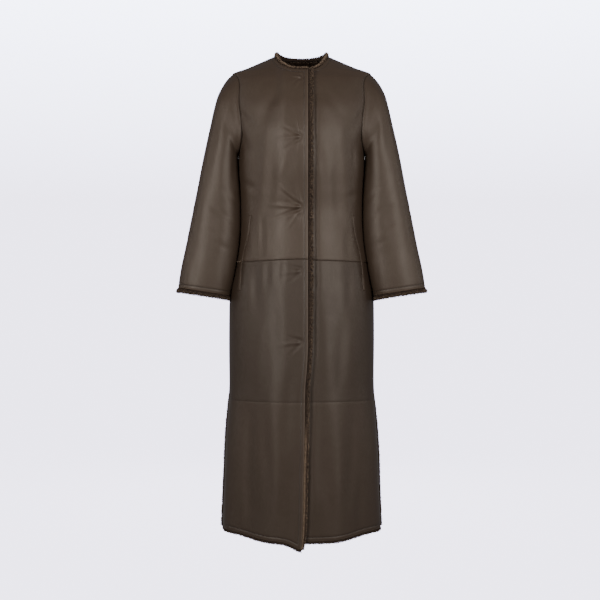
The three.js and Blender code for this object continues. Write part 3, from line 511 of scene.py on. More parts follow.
def upper_rows(which, rows, shares):
    is_front = which != "back"
    neck_z = NECK_FRONT_Z[which] if is_front else NECK_BACK_Z
    table = np.array(CENTRE_FRONT if is_front else CENTRE_BACK, float)
    table += neck_z * (1 - np.arange(UNDERARM_ROW + 1) / UNDERARM_ROW)
    table[-1] = CENTRE_FRONT[-1] if is_front else CENTRE_BACK[-1]
    centre = np.interp(rows, [*range(UNDERARM_ROW + 1), WAIST_ROW], [*table, WAIST_SEAM_Z])
    turn = np.clip((rows - SHOULDER_ROW) / (UNDERARM_ROW - SHOULDER_ROW), 0, 1) * math.pi
    side_angle, side_z = armhole(turn if is_front else -turn)
    side_z = np.where(rows < SHOULDER_ROW, mix(NECK_SIDE_Z, SHOULDER_TIP_Z, rows / SHOULDER_ROW), side_z)
    low = (rows - UNDERARM_ROW) / (WAIST_ROW - UNDERARM_ROW)
    side_z = np.where(rows > UNDERARM_ROW, mix(UNDERARM_Z, WAIST_SEAM_Z - WAIST_SEAM_DIP, low), side_z)
    end = side_angle if is_front else math.pi - side_angle
    start = front_edge_angle(which, centre) if is_front else np.zeros(len(rows))
    angle = mix(start[:, None], end[:, None], FINE)
    share = np.clip(angle / end[:, None], 0, 1)
    centre, side_z, row = centre[:, None], side_z[:, None], rows[:, None]
    # the row that ends at the shoulder's tip leads the rows near it, which keeps them in order
    lead = 1 + np.minimum(row / SHOULDER_ROW, 1)
    above = mix(centre, side_z, 1 - (1 - share) ** lead)
    tip = float(np.interp(SHOULDER_ROW, range(UNDERARM_ROW + 1), table))
    led = lambda turned: mix(tip, SHOULDER_TIP_Z, 1 - (1 - np.clip(turned / (math.pi / 2), 0, 1)) ** 2)
    below = led(angle) + mix(centre - tip, side_z - led(end)[:, None], share)
    below = mix(below, mix(centre, side_z, share), smooth_step(5, 9, row))
    waist = WAIST_SEAM_Z - WAIST_SEAM_DIP * np.abs(np.sin(angle))
    below = mix(below, waist, smooth_step(WAIST_ROW - 1.5, WAIST_ROW, row) ** 3)
    z = np.where(row < SHOULDER_ROW, above, below)
    angle, z = along_surface(angle, z, shares)
    if not is_front:
        return angle, z
    x = mix(-NECK_EDGE_PAST[which], NECK_HALF_WIDTH, FINE)
    share = np.minimum(np.abs(x) / NECK_HALF_WIDTH, 1)
    neck = NECK_SIDE_Z + (neck_z - NECK_SIDE_Z) * (1 - share ** NECK_SQUARENESS) ** NECK_DROP
    neck_angle = angle_at(x, neck)
    neck_angle[-1] = 90 * DEG
    top_angle, top_z = along_surface(neck_angle[None], neck[None], shares)
    ease = np.clip(rows, 0, 1)[:, None]
    whole = rows >= 1
    first = np.searchsorted(rows, 1)
    angle = np.where(whole[:, None], angle, mix(top_angle, angle[first], ease))
    return angle, np.where(whole[:, None], z, mix(top_z, z[first], ease))


def front_edge_angle(which, z):
    past = top_edge_past(z) if which == "right" else np.full(np.shape(z), float(UNDER_EDGE_PAST))
    return -angle_at(past, z)


def hem_level(angle, which):
    level = hem_curve(np.abs(angle) / DEG)
    if which != "right":
        return level
    x = body_base(-angle, level)[..., 0]
    return level - CORNER_DROP * bump(np.maximum(top_edge_past(level) - x, 0), CORNER_WIDTH)


def skirt_level(part, which, down, angle):
    if part == "lower":
        return mix(LOWER_SEAM_Z, hem_level(angle, which), down)
    waist = WAIST_SEAM_Z - WAIST_SEAM_DIP * np.abs(np.sin(angle))
    above = mix(waist, SLIT_TOP_Z, np.minimum(down / SLIT_SHARE, 1))
    below = mix(SLIT_TOP_Z, LOWER_SEAM_Z, np.maximum(down - SLIT_SHARE, 0) / (1 - SLIT_SHARE))
    return np.where(down <= SLIT_SHARE, above, below)


def skirt_rows(part, which, rows, shares):
    down = rows[:, None]
    centre = skirt_level(part, which, down, np.zeros((len(rows), 1)))
    side_z = skirt_level(part, which, down, np.full((len(rows), 1), 90 * DEG))
    end = np.where(side_z > SLIT_TOP_Z, 90 * DEG, 90 * DEG - slit_half(side_z) / body_front(side_z))
    start = np.zeros(centre.shape) if which == "back" else front_edge_angle(which, centre)
    angle = mix(start, end, FINE)
    return along_surface(angle, skirt_level(part, which, down, angle), shares)


# depth or height, then spread, of what sewing does to a hide: a seam's groove and the swell beside it, the
# rolled cut edge, the groove under topstitching and the swell between it and the edge
SEAM_SINK, SEAM_SWELL = (1.25, 2.2), (0.4, 3.5)
EDGE_ROLL, STITCH_SINK, EDGE_SWELL = (1.1, 2.4), (0.6, 2.0), (0.15, 2.6)
SWELL_FROM_SEAM = 6
SEAM_GAP = 0.03


class Panel:
    """A piece of the coat: rows of points on its outer face, the ways out and the distances to its edges.
    A seam comes with how deep it is sunk, and inset pairs the points at a seam with those beside them."""

    def __init__(self, name, points, normals, edges, seams, inset, sunk=None):
        self.name = name
        self.flat_points = points
        self.normals = normals
        self.edge = distance_to(points, edges)
        each = np.stack([distance_to(points, [line]) for line, _ in seams])
        self.seam = each.min(0)
        self.sewn = np.array([depth for _, depth in seams])[each.argmin(0)]
        swell = SEAM_SWELL[0] * bump(self.seam - SWELL_FROM_SEAM, SEAM_SWELL[1])
        height = self.sewn * (swell - SEAM_SINK[0] * bump(self.seam, SEAM_SINK[1]))
        roll = -EDGE_ROLL[0] * bump(self.edge, EDGE_ROLL[1])
        height += roll - STITCH_SINK[0] * bump(self.edge - STITCH_INSET, STITCH_SINK[1])
        height += EDGE_SWELL[0] * bump(self.edge - STITCH_INSET / 2, EDGE_SWELL[1])
        self.points = points + (normals if sunk is None else sunk) * height[..., None]
        for at_seam, beside in inset:
            self.points[at_seam] += SEAM_GAP * unit(self.points[beside] - self.points[at_seam])


FAR_AWAY = 500.0
LINE_STEP = 1.6
AT_ONCE = 600


def run_lengths(line):
    """How far along a line each of its points is."""
    return np.concatenate([[0], np.cumsum(np.linalg.norm(np.diff(line, axis=0), axis=1))])


def distance_to(points, lines):
    """The distance from each point to the nearest of the lines."""
    if not lines:
        return np.full(points.shape[:-1], FAR_AWAY)
    dense = []
    for line in lines:
        steps = run_lengths(line)
        places = np.arange(0, steps[-1], LINE_STEP)
        dense.append(np.stack([np.interp(places, steps, line[:, k]) for k in range(3)], -1))
    dense = np.concatenate(dense)
    flat = points.reshape(-1, 3)
    nearest = np.empty(len(flat))
    for start in range(0, len(flat), AT_ONCE):
        chunk = flat[start:start + AT_ONCE]
        square = (chunk ** 2).sum(1)[:, None] + (dense ** 2).sum(1) - 2 * chunk @ dense.T
        nearest[start:start + AT_ONCE] = np.sqrt(np.maximum(square.min(1), 0))
    return nearest.reshape(points.shape[:-1])


SIDES = ("right", "left")
PARTS = ("upper", "middle", "lower")
# how deep each seam is sunk
WAIST_SEAM, LOWER_SEAM, SIDE_SEAM, ARMHOLE_SEAM, SLEEVE_SEAM = 0.5, 0.2, 0.6, 0.8, 0.22
# how far down each height's side is sewn, in its own rows
SIDE_SEWN_TO = {"upper": WAIST_ROW, "middle": SLIT_SHARE, "lower": -1}
# rough sizes of the panels, which are divided into cells
CELL = 6.0
PANEL_WIDTH = 275
BELOW_UNDERARM = 280
SKIRT_LENGTHS = {"middle": 364, "lower": 335}
SLEEVE_LENGTH = 600
SLEEVE_WIDTH = 190


def free_lines(which, part, points, is_open):
    """The lines of a body panel that aren't sewn to another one."""
    sides = (0, -1) if which == "back" else (-1,)
    lines = [points[is_open, column] for column in sides] if is_open.any() else []
    if which != "back":
        lines.append(points[:, 0])
    return lines + {"upper": [points[0]], "middle": [], "lower": [points[-1]]}[part]


def body_panel(part, which):
    shares = stations(PANEL_WIDTH, CELL, which != "back", part != "upper")
    puckered = which == "right" and part != "lower"
    if puckered:
        shares = finer(shares, 0, 0.35, 0.011)
    if part == "upper":
        rows = np.concatenate([
            np.linspace(0, 1, 9), np.linspace(1, SHOULDER_ROW, 15)[1:],
            np.linspace(SHOULDER_ROW, UNDERARM_ROW, 43)[1:],
            mix(UNDERARM_ROW, WAIST_ROW, stations(BELOW_UNDERARM, CELL, False, False))[1:],
        ])
        rows = finer(rows, 1.3, 16, 0) if puckered else rows
        angle, z = upper_rows(which, rows, shares)
    else:
        rows = stations(SKIRT_LENGTHS[part], CELL, False, part == "lower")
        rows = finer(rows, 0.02, 0.65, 0) if puckered else rows
        angle, z = skirt_rows(part, which, rows, shares)
    if which == "right":
        angle = -angle
    if which == "back":
        left, right = math.pi - angle, angle - math.pi
        angle, z = np.hstack([right[:, :0:-1], left]), np.hstack([z[:, :0:-1], z])
    base, normal = body_base(angle, z), body_normal(angle, z)
    stand = body_fold(angle, z) + body_detail(angle, z, which)
    if which == "right":
        stand = stand + front_lift(base[..., 0], z)
    pocket = pocket_groove(angle, z) if which != "back" and part != "lower" else 0
    points = base + normal * (stand + pocket)[..., None]
    is_sewn = rows <= SIDE_SEWN_TO[part]
    sewn = np.nonzero(is_sewn)[0]
    sides = ((0, 1), (-1, -2)) if which == "back" else ((-1, -2),)
    seams = [(points[sewn, column], SIDE_SEAM) for column, _ in sides if len(sewn)]
    inset = []
    if part != "upper":
        seams.append((points[0], WAIST_SEAM if part == "middle" else LOWER_SEAM))
        inset.append((0, 1))
    if part != "lower":
        seams.append((points[-1], WAIST_SEAM if part == "upper" else LOWER_SEAM))
        inset.append((-1, -2))
    inset += [((sewn, column), (sewn, beside)) for column, beside in sides if len(sewn)]
    name = f"back_{part}" if which == "back" else f"front_{which}_{part}"
    panel = Panel(name, points, normal, free_lines(which, part, points, ~is_sewn), seams, inset)
    panel.rows = rows
    panel.free_lines = free_lines(which, part, panel.points, ~is_sewn)
    return panel


def pocket_groove(angle, z):
    level = np.clip(z, POCKET[-1, 0], POCKET[0, 0])
    aside = (np.abs(angle) / DEG - pocket_angle(level)) * SPREAD_PER_DEGREE
    beyond = np.abs(z - level)
    return -1.6 * bump(aside + 1.2, 2.6) * bump(beyond, 5)


def rest_on_side(base, turn, ring):
    """How far the inside of a sleeve swells to rest on the coat's side."""
    x, y, z = np.moveaxis(base, -1, 0)
    deep = np.where(y < 0, body_front(z), body_back(z))
    full = body_full(z)
    side = body_side(z) * (1 - np.minimum(np.abs(y) / deep, 0.99) ** full) ** (1 / full)
    free = np.clip(x - side - 0.2, 0, 4.5)
    return free * bump(turn_between(turn / DEG, 180), 50) * smooth_step(1.5, 4, ring)


def sleeve_panel(which, half):
    rings = np.interp(stations(SLEEVE_LENGTH, CELL, False, True), [0, 1], [0, LAST_RING])[:, None]
    start = OUTER_SEAM_SWING * DEG * smooth_step(0, OUTER_SEAM_BLEND, rings)
    shares = stations(SLEEVE_WIDTH, CELL, False, False)[None]
    turn = mix(start if half == "front" else FULL_TURN + start, math.pi, shares)
    ring = np.broadcast_to(rings, turn.shape)
    base, normal = sleeve_base(turn, ring), sleeve_normal(turn, ring)
    stand = sleeve_detail(turn, ring, which) + rest_on_side(base, turn, ring)
    points = base + normal * stand[..., None]
    if which == "right":
        points, normal = points * (-1, 1, 1), normal * (-1, 1, 1)
    inset = [(0, 1), ((slice(None), 0), (slice(None), 1)), ((slice(None), -1), (slice(None), -2))]
    seams = [(points[0], ARMHOLE_SEAM), (points[:, 0], SLEEVE_SEAM), (points[:, -1], SLEEVE_SEAM)]
    angle, z = armhole(turn)
    at_armhole = body_normal(angle, z) * ((-1, 1, 1) if which == "right" else (1, 1, 1))
    sunk = unit(mix(at_armhole, normal, smooth_step(0, 0.35, ring)[..., None]))
    return Panel(f"sleeve_{which}_{half}", points, normal, [points[-1]], seams, inset, sunk)


# Shader maths as Python expressions

class Number:
    def __init__(self, tree, socket):
        self.tree = tree
        self.socket = socket

    def sum(self, operation, first, second=None):
        node = self.tree.nodes.new("ShaderNodeMath")
        node.operation = operation
        for entry, value in zip(node.inputs, (first, second)):
            if isinstance(value, Number):
                self.tree.links.new(value.socket, entry)
            elif value is not None:
                entry.default_value = value
        return Number(self.tree, node.outputs[0])

    def __add__(self, other):
        return self.sum("ADD", self, other)

    def __sub__(self, other):
        return self.sum("SUBTRACT", self, other)

    def __rsub__(self, other):
        return self.sum("SUBTRACT", other, self)

    def __mul__(self, other):
        return self.sum("MULTIPLY", self, other)

    def __truediv__(self, other):
        return self.sum("DIVIDE", self, other)

    def __rtruediv__(self, other):
        return self.sum("DIVIDE", other, self)

    def __neg__(self):
        return self.sum("MULTIPLY", self, -1)

    __radd__ = __add__
    __rmul__ = __mul__

    def clamped(self):
        return self.sum("MINIMUM", self.sum("MAXIMUM", self, 0), 1)

    def peak(self, middle, spread):
        """1 where it is the middle value, falling smoothly to 0."""
        far = (self - middle) / spread
        return self.sum("EXPONENT", -(far * far))


class Finish:
    """A procedural material, and the nodes that its surface is made of."""

    def __init__(self, name, **constants):
        self.material = bpy.data.materials.new(name)
        self.material.use_nodes = True
        self.tree = self.material.node_tree
        self.shader = next(n for n in self.tree.nodes if n.type == "BSDF_PRINCIPLED")
        for socket, value in constants.items():
            self.shader.inputs[socket.replace("_", " ")].default_value = value
        self.place = self.node("ShaderNodeTexCoord").outputs["Object"]

    def node(self, kind, settings=None, **values):
        node = self.tree.nodes.new(kind)
        for name, value in (settings or {}).items():
            setattr(node, name, value)
        for name, value in values.items():
            entry = node.inputs[name.replace("_", " ")]
            if isinstance(value, Number):
                value = value.socket
            if isinstance(value, bpy.types.NodeSocket):
                self.tree.links.new(value, entry)
            else:
                entry.default_value = value
        return node

    def stretched(self, scale, shift):
        return self.node("ShaderNodeMapping", Vector=self.place, Scale=scale, Location=shift).outputs[0]

    def noise(self, scale, detail, roughness, stretch=(1, 1, 1), shift=(0, 0, 0)):
        place = self.stretched(stretch, shift)
        node = self.node("ShaderNodeTexNoise", Vector=place, Scale=scale, Detail=detail, Roughness=roughness)
        return Number(self.tree, node.outputs[0])

    def cells(self, scale, feature="F1"):
        node = self.node("ShaderNodeTexVoronoi", {"feature": feature}, Vector=self.place, Scale=scale)
        return Number(self.tree, node.outputs["Distance"])

    def attribute(self, name):
        node = self.node("ShaderNodeAttribute", {"attribute_name": name})
        return Number(self.tree, node.outputs["Fac"])

    def blend(self, factor, first, second):
        node = self.node("ShaderNodeMix", {"data_type": "RGBA"})
        for entry, value in zip((node.inputs[0], node.inputs[6], node.inputs[7]), (factor, first, second)):
            if isinstance(value, Number):
                value = value.socket
            if isinstance(value, bpy.types.NodeSocket):
                self.tree.links.new(value, entry)
            else:
                entry.default_value = (*value, 1) if isinstance(value, tuple) else value
        return node.outputs[2]

    def feed(self, **links):
        for name, value in links.items():
            socket = value.socket if isinstance(value, Number) else value
            self.tree.links.new(socket, self.shader.inputs[name.replace("_", " ")])

    def bumped(self, height):
        """Turns a height in millimetres into the shader's normal."""
        node = self.node("ShaderNodeBump", Strength=1.0, Distance=MM, Height=height)
        self.feed(Normal=node.outputs[0])


def leather_finish():
    made = Finish("nappa_leather", Specular_IOR_Level=0.30, Specular_Tint=(1.0, 0.90, 0.80, 1))
    broad = made.noise(5.5, 3, 0.55, (1, 1, 0.6))
    cloud = made.noise(26, 3, 0.6, shift=(3, 1, 2))
    fine = made.noise(240, 2, 0.6)
    edge, seam, sewn, dark = (made.attribute(name) for name in ("edge", "seam", "sewn", "dark"))
    base = made.blend(broad, (0.0245, 0.0154, 0.0096), (0.0335, 0.0217, 0.0141))
    base = made.blend((cloud - 0.35) * 0.9, base, (0.035, 0.0232, 0.0156))
    # fine speckle of the hide, and painted shade where panels are darkened for the light falling off down the
    # coat
    base = made.blend((fine * 0.25 + dark).clamped(), base, (0.018, 0.011, 0.0068))
    worn = edge.peak(1.0, 1.6) * (0.25 + cloud * 0.6)
    base = made.blend(worn.clamped(), base, (0.075, 0.052, 0.036))
    shade = (seam.peak(0, 1.1) * sewn * 0.8 + edge.peak(STITCH_INSET, 1.2) * 0.4).clamped()
    base = made.blend(shade, base, (0.007, 0.0045, 0.003))
    grain = made.cells(620, "DISTANCE_TO_EDGE").clamped()
    pores = made.cells(1150)
    crumple = made.noise(75, 4, 0.6, shift=(5, 2, 8))
    soft = made.noise(22, 2, 0.5, (1, 1, 0.55))
    groove = edge.peak(STITCH_INSET, 1.1) * 0.3 + seam.peak(0, 0.9) * sewn * 0.4
    made.feed(Base_Color=base, Roughness=0.42 + cloud * 0.12 + fine * 0.06)
    made.bumped(grain * 0.10 + pores * 0.04 + crumple * 0.30 + soft * 0.8 - groove)
    return made.material


def cut_edge_finish():
    made = Finish("raw_hide_edge", Roughness=0.9)
    fibre = made.noise(900, 3, 0.7)
    made.feed(Base_Color=made.blend(fibre, (0.06, 0.038, 0.024), (0.16, 0.11, 0.07)))
    made.bumped(fibre * 0.3)
    return made.material


def lining_finish():
    made = Finish("wool_pile", Roughness=0.95, Specular_IOR_Level=0.15)
    locks = made.cells(230, "SMOOTH_F1")
    curl = made.noise(420, 3, 0.7)
    broad = made.noise(30, 2, 0.5)
    # darker between the locks, where the bump sinks: painted shade in the gaps between clumps
    base = made.blend(locks * 1.3, (0.030, 0.0165, 0.0095), (0.007, 0.0038, 0.0022))
    base = made.blend((curl - 0.35) * 1.2, base, (0.055, 0.033, 0.020))
    base = made.blend(broad * 0.5, base, (0.012, 0.0065, 0.0038))
    made.feed(Base_Color=base)
    made.bumped(curl * 0.9 - locks * 2.2 + broad * 1.0)
    return made.material


def wool_finish():
    made = Finish("wool_locks", Roughness=0.9, Specular_IOR_Level=0.2)
    tip, tone, tan = made.attribute("tip"), made.attribute("tone"), made.attribute("tan")
    clump = made.noise(140, 2, 0.6)
    # darker towards the roots: partly the wool's own dark brown, partly painted shade deep in the pile
    base = made.blend(tip, (0.007, 0.0038, 0.0022), (0.030, 0.0160, 0.0088))
    base = made.blend((tone * tip * 0.4 + (clump - 0.5) * 0.6).clamped(), base, (0.060, 0.034, 0.020))
    base = made.blend((tan * tip * (0.4 + tone * 0.6)).clamped(), base, (0.30, 0.212, 0.142))
    made.feed(Base_Color=base)
    return made.material


def thread_finish():
    made = Finish("waxed_thread", Roughness=0.5, Specular_IOR_Level=0.5)
    twist = made.noise(1500, 1, 0.5)
    made.feed(Base_Color=made.blend(twist, (0.016, 0.011, 0.008), (0.042, 0.030, 0.022)))
    made.bumped(twist * 0.1)
    return made.material


def metal_finish():
    made = Finish("gunmetal", Metallic=1.0, Specular_IOR_Level=0.5)
    wear = made.noise(400, 3, 0.6)
    base = made.blend(wear, (0.07, 0.062, 0.055), (0.19, 0.17, 0.15))
    made.feed(Base_Color=base, Roughness=0.28 + wear * 0.2)
    made.bumped(wear * 0.02)
    return made.material


# level in metres where the paper starts to brighten, and how much higher it is brightest
PAPER_FADE_FROM = 0.1
PAPER_FADE_RISE = 1.9


def paper_finish():
    """Pale paper, lit evenly by itself so that no light has to fall on it."""
    made = Finish("studio_paper", Roughness=1.0, Specular_IOR_Level=0.0, Emission_Strength=1.0)
    made.shader.inputs["Base Color"].default_value = (0.3, 0.3, 0.31, 1)
    height = Number(made.tree, made.node("ShaderNodeSeparateXYZ", Vector=made.place).outputs["Z"])
    share = ((height - PAPER_FADE_FROM) / PAPER_FADE_RISE).clamped()
    made.feed(Emission_Color=made.blend(share, (3.4, 3.25, 4.1), (6.4, 6.8, 8.6)))
    return made.material


LEATHER, RAW_EDGE, LINING = leather_finish(), cut_edge_finish(), lining_finish()
WOOL, THREAD, METAL = wool_finish(), thread_finish(), metal_finish()


# Meshes

def finished(name, mesh, materials):
    piece = bpy.data.objects.new(name, mesh)
    bpy.context.scene.collection.objects.link(piece)
    for material in materials:
        mesh.materials.append(material)
    mesh.polygons.foreach_set("use_smooth", np.ones(len(mesh.polygons), bool))
    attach(piece, "root")
    return piece


def set_attribute(mesh, name, values):
    values = np.asarray(values, np.float32).ravel()
    mesh.attributes.new(name, "FLOAT", "POINT").data.foreach_set("value", values)


def grid_mesh(name, points, normals):
    """A grid laid on rows of points in millimetres, facing the way of its normals."""
    rows, columns = points.shape[:2]
    shape = bmesh.new()
    bmesh.ops.create_grid(shape, x_segments=columns - 1, y_segments=rows - 1, size=1)
    mesh = bpy.data.meshes.new(name)
    shape.to_mesh(mesh)
    shape.free()
    place = np.empty(len(mesh.vertices) * 3, np.float32)
    mesh.vertices.foreach_get("co", place)
    place = place.reshape(-1, 3)
    column = np.rint((place[:, 0] + 1) / 2 * (columns - 1)).astype(int)
    row = np.rint((place[:, 1] + 1) / 2 * (rows - 1)).astype(int)
    mesh.vertices.foreach_set("co", (points[row, column] * MM).astype(np.float32).ravel())
    mesh.update()
    facing = 0
    for face in mesh.polygons:
        corner = face.vertices[0]
        facing += face.normal.dot(Vector(normals[row[corner], column[corner]]))
    if facing < 0:
        mesh.flip_normals()
    return mesh, row, column


def sharpen_seams(mesh, row, column, name):
    """Keeps the faint seams from being shaded as rounded edges."""
    faint = {
        "middle": [(row, row.max())], "lower": [(row, 0)], "upper": [],
        "front": [(column, 0), (column, column.max())], "back": [(column, 0), (column, column.max())],
    }[name.rsplit("_", 1)[1]]
    ends = np.empty(len(mesh.edges) * 2, np.int32)
    mesh.edges.foreach_get("vertices", ends)
    sharp = np.zeros(len(mesh.edges), bool)
    for place, line in faint:
        sharp |= (place[ends].reshape(-1, 2) == line).all(1)
    mesh.attributes.new("sharp_edge", "BOOLEAN", "EDGE").data.foreach_set("value", sharp)


def walled(piece, thickness, inside=0, rim=0):
    """Gives a sheet its thickness, with other materials on its inside and its rim."""
    wall = piece.modifiers.new("wall", "SOLIDIFY")
    wall.thickness = thickness * MM
    wall.offset = -1
    wall.material_offset = inside
    wall.material_offset_rim = rim


def corners_and_faces(shape):
    """The corners and triangles of a small shape, which is freed."""
    bmesh.ops.triangulate(shape, faces=shape.faces)
    bmesh.ops.recalc_face_normals(shape, faces=shape.faces)
    shape.verts.index_update()
    corners = np.array([v.co for v in shape.verts])
    faces = np.array([[v.index for v in f.verts] for f in shape.faces])
    shape.free()
    return corners, faces


def copies_mesh(name, points, faces):
    """One mesh of many copies of a small shape, from each copy's corners and the shape's faces."""
    count, size = points.shape[:2]
    every = (faces[None] + np.arange(count)[:, None, None] * size).reshape(-1, 3)
    mesh = bpy.data.meshes.new(name)
    mesh.vertices.add(count * size)
    mesh.vertices.foreach_set("co", (points * MM).astype(np.float32).ravel())
    mesh.loops.add(every.size)
    mesh.loops.foreach_set("vertex_index", every.astype(np.int32).ravel())
    mesh.polygons.add(len(every))
    mesh.polygons.foreach_set("loop_start", np.arange(0, every.size, 3, dtype=np.int32))
    mesh.update(calc_edges=True)
    return mesh


# painted shade: the middle and lower heights of the coat, and the sleeves a little, are darkened to stand in
# for the light falling off down the coat
PAINTED_FALLOFF_SHADE = {"upper": 0, "middle": 0.75, "lower": 0.45, "front": 0.12, "back": 0.12}

panels = {}
for which in ("right", "left", "back"):
    for part in PARTS:
        panel = body_panel(part, which)
        panels[panel.name] = panel
for which in SIDES:
    for half in ("front", "back"):
        panel = sleeve_panel(which, half)
        panels[panel.name] = panel

for name, panel in panels.items():
    mesh, row, column = grid_mesh(f"hide_{name}", panel.points, panel.normals)
    set_attribute(mesh, "edge", panel.edge[row, column])
    set_attribute(mesh, "seam", panel.seam[row, column])
    set_attribute(mesh, "sewn", panel.sewn[row, column])
    # painted shade by the panel's height, for the light falling off down the coat
    set_attribute(mesh, "dark", np.full(len(row), PAINTED_FALLOFF_SHADE[name.rsplit("_", 1)[1]]))
    sharpen_seams(mesh, row, column, name)
    piece = finished(f"hide_{name}", mesh, (LEATHER, RAW_EDGE, LINING))
    walled(piece, WALL, inside=2, rim=1)
    # the back of a sleeve is one hide over two nodes
    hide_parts(*(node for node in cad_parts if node.startswith(name)))


# Wool along the cut edges

class Edge:
    """A cut edge, as rows of the leather's corner, the wool's lean, its up and how tan its tips are."""

    def __init__(self, rows):
        self.rows = rows

    def back(self):
        return Edge(self.rows[::-1])

    def length(self):
        return run_lengths(self.rows[:, :3])[-1]

    def at(self, places):
        steps = run_lengths(self.rows[:, :3])
        found = np.stack([np.interp(places, steps, values) for values in self.rows.T], -1)
        return found[:, :3], found[:, 3:6], unit(found[:, 6:9]), found[:, 9]


def edge_frames(panel, line, inside, reach, flare=0.0, tan=0.35):
    corner, normal = panel.points[line], panel.normals[line]
    out = unit(panel.flat_points[line] - panel.flat_points[inside])
    reach = reach(corner) if callable(reach) else np.full(len(corner), float(reach))
    lean = (out + flare * normal) * reach[:, None]
    return Edge(np.column_stack([corner, lean, normal, np.full(len(corner), tan)]))


def neck_frames(panel):
    """The neck's edge, whose wool stands up and leans in."""
    corner, normal = panel.points[0], panel.normals[0]
    around = unit(corner * (1, 1, 0))
    side = np.abs(around[:, :1])
    ahead = unit(np.array([0, 0, 1.0]) - around * (0.3 + 0.2 * side))
    lean = ahead * (WOOL_REACH + WOOL_NECK_SIDE * side ** 2)
    up = unit(normal - ahead * (normal * ahead).sum(1, keepdims=True))
    return Edge(np.column_stack([corner, lean, up, np.ones(len(corner))]))


# the roll's outline, as a share of the wool's reach and a height over the leather, and how pale it is
SECTION = np.array([
    (0.05, -0.9, 0.9), (0.4, -0.1, 0.6), (0.62, -1.0, 0), (0.72, -3.2, 0.9),
    (0.6, -5.4, 0.6), (0.3, -6.6, 0.2), (-0.1, -6.4, 0), (-0.1, -2, 0.3),
])
CORE_STEP = 4


def roll_core(name, edge, looped):
    """The dense root of the pile, a soft roll behind the cut edge."""
    count = int(edge.length() / CORE_STEP)
    corner, lean, up, tan = edge.at(np.linspace(0, edge.length(), count + 1))
    share, height, pale = SECTION.T
    points = corner[:, None] + lean[:, None] * share[None, :, None] + up[:, None] * height[None, :, None]
    points = points + unit(lean)[:, None] * chance.normal(0, 0.35, points.shape[:2])[..., None]
    if looped:
        points[-1] = points[0]
    points = np.concatenate([points, points[:, :1]], axis=1)
    mesh, row, column = grid_mesh(name, points, np.repeat(unit(lean)[:, None], points.shape[1], axis=1))
    # where two tan lines run, the roll itself is matted and pale beneath them
    lines = np.clip(tan - 1, 0, 1)[row]
    # the roll takes the dark colour of the roots, partly painted shade deep in the pile, and is paler where the
    # tan lines run
    set_attribute(mesh, "tip", 0.1 + 0.6 * lines)
    set_attribute(mesh, "tone", np.full(len(row), 0.2))
    set_attribute(mesh, "tan", lines * np.append(pale, pale[0])[column])
    shape = bmesh.new()
    shape.from_mesh(mesh)
    bmesh.ops.remove_doubles(shape, verts=shape.verts, dist=0.00005)
    bmesh.ops.holes_fill(shape, edges=[e for e in shape.edges if e.is_boundary], sides=0)
    bmesh.ops.triangulate(shape, faces=[f for f in shape.faces if len(f.verts) > 4])
    bmesh.ops.recalc_face_normals(shape, faces=shape.faces)
    shape.to_mesh(mesh)
    shape.free()
    return mesh


def lock_shape():
    """One tapered curl of wool, about a unit long up Z, as its corners and faces."""
    shape = bmesh.new()
    bmesh.ops.create_cone(shape, segments=3, radius1=0.45, radius2=0.5, depth=0.62, cap_ends=False)
    bmesh.ops.translate(shape, verts=shape.verts, vec=(0, 0, 0.31))
    rim = [e for e in shape.edges if all(v.co.z > 0.5 for v in e.verts)]
    top = bmesh.ops.extrude_edge_only(shape, edges=rim)["geom"]
    tips = [v for v in top if isinstance(v, bmesh.types.BMVert)]
    bmesh.ops.pointmerge(shape, verts=tips, merge_co=(0.3, 0, 0.92))
    return corners_and_faces(shape)


LOCK_CORNERS, LOCK_FACES = lock_shape()
LOCK_BEND = 0.5


def locks_mesh(name, roots, ways, lengths, widths, tones, tans):
    """Many curls joined into one mesh."""
    count = len(roots)
    ways = unit(ways)
    beside = unit(np.cross(ways, unit(chance.normal(0, 1, (count, 3)))))
    third = np.cross(ways, beside)
    x, y, z = (LOCK_CORNERS[None, :, k, None] for k in range(3))
    wide, long = widths[:, None, None], lengths[:, None, None]
    points = (
        roots[:, None] + beside[:, None] * (x * wide + z ** 2 * LOCK_BEND * long)
        + third[:, None] * y * wide + ways[:, None] * z * long
    )
    mesh = copies_mesh(name, points, LOCK_FACES)
    set_attribute(mesh, "tip", np.tile(LOCK_CORNERS[:, 2], count))
    set_attribute(mesh, "tone", np.repeat(tones, len(LOCK_CORNERS)))
    set_attribute(mesh, "tan", np.repeat(tans, len(LOCK_CORNERS)))
    return mesh


# the roll that the curls stand on: half its depth as a share of the reach, half its height as a share of the
# wool's thickness, and where its middle is past the corner
ROLL_DEPTH, ROLL_HEIGHT, ROLL_MIDDLE = 0.42, 0.46, 0.30
ROOT_DEPTH = 0.88
# degrees round the roll, and spread: the tan tips of loose wool, paler where the curls face out and forward,
# which is partly a painted highlight, and two matted tan lines with a furrow
TAN_TIPS_AND_HIGHLIGHT = (48, 40)
MATTED_TAN = (105, 24), (4, 18)
FURROW = (48, 22)
TONE_SKEW = 1.6


